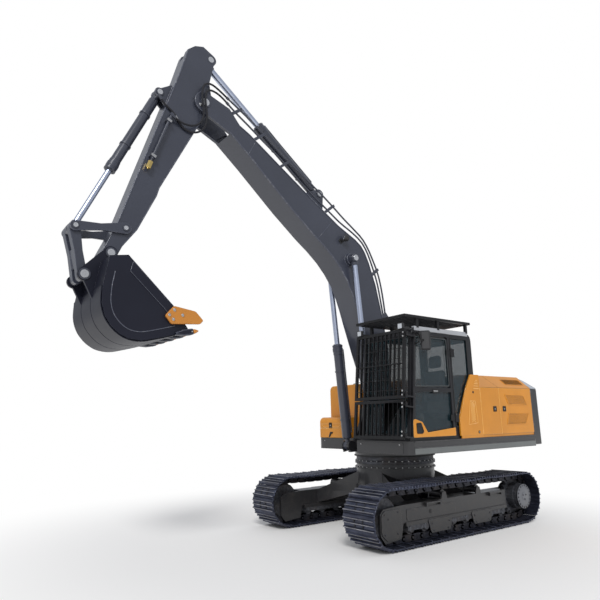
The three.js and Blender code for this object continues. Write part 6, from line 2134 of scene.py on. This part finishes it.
@dataclass
class Ram:
    """A hydraulic cylinder: turned barrel with gland and ports, chromed rod, and both eyes."""

    name: str
    rod_pin: Colour
    long: float
    barrel: float
    rod: float
    base_eye: float
    rod_eye: float
    half_base: float
    half_eye: float
    tail: float

    @staticmethod
    def eye(radius: float, half: float) -> Shell:
        """Eye of a cylinder, turned about its pin."""
        return lathe([(-half, radius - 0.006), (-half + 0.005, radius), (half - 0.005, radius),
                      (half, radius - 0.006)], 40)

    def build(self) -> None:
        """Make the barrel and the rod on their own bodies, in place of the plain ones."""
        origin = np.array(JOINTS[f"{self.name}_tilt"]["pos_m"])
        way = np.array(self.rod_pin) - origin
        reach = float(np.linalg.norm(way))
        axis = tuple(way / reach)
        seat = Seat(tuple(origin), (0, 1, 0), axis)
        self.make_barrel(seat)
        ends = np.radians(np.arange(0, 360, 45))
        middle = 0.5 * (self.rod + self.barrel)
        bolts = Batch(f"{self.name}_gland_bolts", Coat.CAST, f"{self.name}_barrel")
        for turn in ends:
            local = (middle * math.cos(turn), middle * math.sin(turn), self.long + 0.036, 1.0)
            spot = (seat.matrix() @ np.array(local))[:3]
            bolts.at(Seat(tuple(spot), (0, 1, 0), axis), bolt(0.012, 0.008))
        bolts.make()
        rod, body = self.rod, f"{self.name}_rod"
        shaft = lathe([(self.tail, rod - 0.004), (self.tail + 0.004, rod),
                       (reach - self.rod_eye + 0.015, rod)], 48)
        Batch(f"{body}_skin", Coat.CHROME, body, 40.0).at(seat, shaft).make(replaces=[body])
        half = self.half_eye - 0.0006
        neck = lathe([(reach - 0.122, rod + 0.001), (reach - 0.118, rod + 0.012),
                      (reach - 0.09, rod + 0.016), (reach - 0.05, half * 0.92)], 36)
        eye = Batch(f"{body}_eye", Coat.SLATE, body)
        eye.at(Seat(self.rod_pin, axis, (0, 1, 0)), self.eye(self.rod_eye, half))
        eye.at(seat, neck).make()

    def make_barrel(self, seat: Seat) -> None:
        """Barrel turned in one closed section, its foot, its feed pipe and the pipe's straps."""
        r, rod, end = self.barrel, self.rod, self.long
        foot, bore = self.base_eye + 0.050, rod + 0.0015
        section = [(foot + 0.020, bore), (foot + 0.001, bore + 0.001), (foot, r * 0.86),
                   (foot + 0.012, r - 0.004), (foot + 0.028, r), (end - 0.150, r),
                   (end - 0.140, r + 0.006), (end - 0.095, r + 0.006), (end - 0.090, r + 0.012),
                   (end - 0.030, r + 0.012), (end - 0.024, r + 0.006), (end - 0.010, r + 0.006),
                   (end - 0.004, r + 0.010), (end + 0.026, r + 0.010), (end + 0.032, r - 0.012),
                   (end + 0.040, rod + 0.012), (end + 0.040, bore)]
        half = self.half_base - 0.0006
        socket = [(self.base_eye * 0.72, half * 0.9), (foot - 0.010, half * 0.9),
                  (foot + 0.004, r * 0.84)]
        skin = Batch(f"{self.name}_barrel_skin", Coat.SLATE, f"{self.name}_barrel", 28.0)
        skin.at(seat, turned(section, 48, closed=True), lathe(socket, 32))
        skin.at(Seat(seat.origin, seat.z, (0, 1, 0)), self.eye(self.base_eye, half))
        if self.name.startswith("bucket"):
            skin.add(self.short_port(seat))
        else:
            out, low = r + 0.040, end - 0.30
            port = [(0.0, 0.030, end - 0.06), (0.0, r + 0.034, end - 0.06),
                    (0.0, out, end - 0.075), (0.0, out, low)]
            feed = [(0.0, out, low), (0.0, out, foot + 0.20), (0.0, r + 0.034, foot + 0.10),
                    (0.0, r - 0.01, foot + 0.08)]
            skin.at(seat, tube(smooth_path(port, 6), 0.014, 12),
                    tube(smooth_path(feed, 8), 0.012, 12))
        skin.at(seat, *(ring(r + 0.0002, r + 0.010, at, at + 0.028)
                        for at in (foot + 0.30, end - 0.45)))
        skin.make(replaces=[f"{self.name}_barrel"])

    @staticmethod
    def short_port(seat: Seat) -> Shell:
        """Bent port that turns from the barrel's side into the bucket cylinder's hose."""
        steer = math.radians(-60.4)
        axis = np.array(seat.z)
        side = np.cross(axis, (0.0, 1.0, 0.0))
        local = ((0.130, 0.030, 0.0), (0.130, 0.170, 0.0), (0.132, 0.188, -0.003),
                 (0.130 + 0.075 * math.cos(steer), 0.190, 0.075 * math.sin(steer)))
        spots = [np.array(seat.origin) + axis * a + np.array((0, y, 0)) + side * out
                 for a, y, out in local]
        return tube(smooth_path(spots, 6), 0.0195, 16)


def rams() -> list[Ram]:
    """The four cylinders of the front, by the places of their rods' pins."""
    sizes = (1.700, 0.080, 0.045, 0.072, 0.078, 0.046, 0.046, 1.430)
    return [
        Ram("boom_cylinder_left", here(0.967, 0.23, 4.401), *sizes),
        Ram("boom_cylinder_right", here(0.967, -0.43, 4.401), *sizes),
        Ram("arm_cylinder", ARM.point(-0.767, 0, 0.262),
            1.500, 0.085, 0.050, 0.080, 0.084, 0.060, 0.060, 1.210),
        Ram("bucket_cylinder", here(5.487, -0.1, 4.116),
            1.480, 0.070, 0.040, 0.068, 0.072, 0.050, 0.058, 1.100),
    ]


# ------------------------------------------------------------------ the whole machine


def main() -> None:
    """Build the studio, the hoses, then the machine from the ground up."""
    logging.basicConfig(level=logging.INFO, format="%(message)s")
    Studio().build()
    for hose in HOSES:
        hose.build()
    for side, label in SIDES:
        Track(side, label).build()
        TrackFrame(side, label).build()
    for part in (Carbody(), Bodywork(), Cab(), Boom(), Arm(), Bucket(), *rams()):
        part.build()


if __name__ == "__main__":
    main()
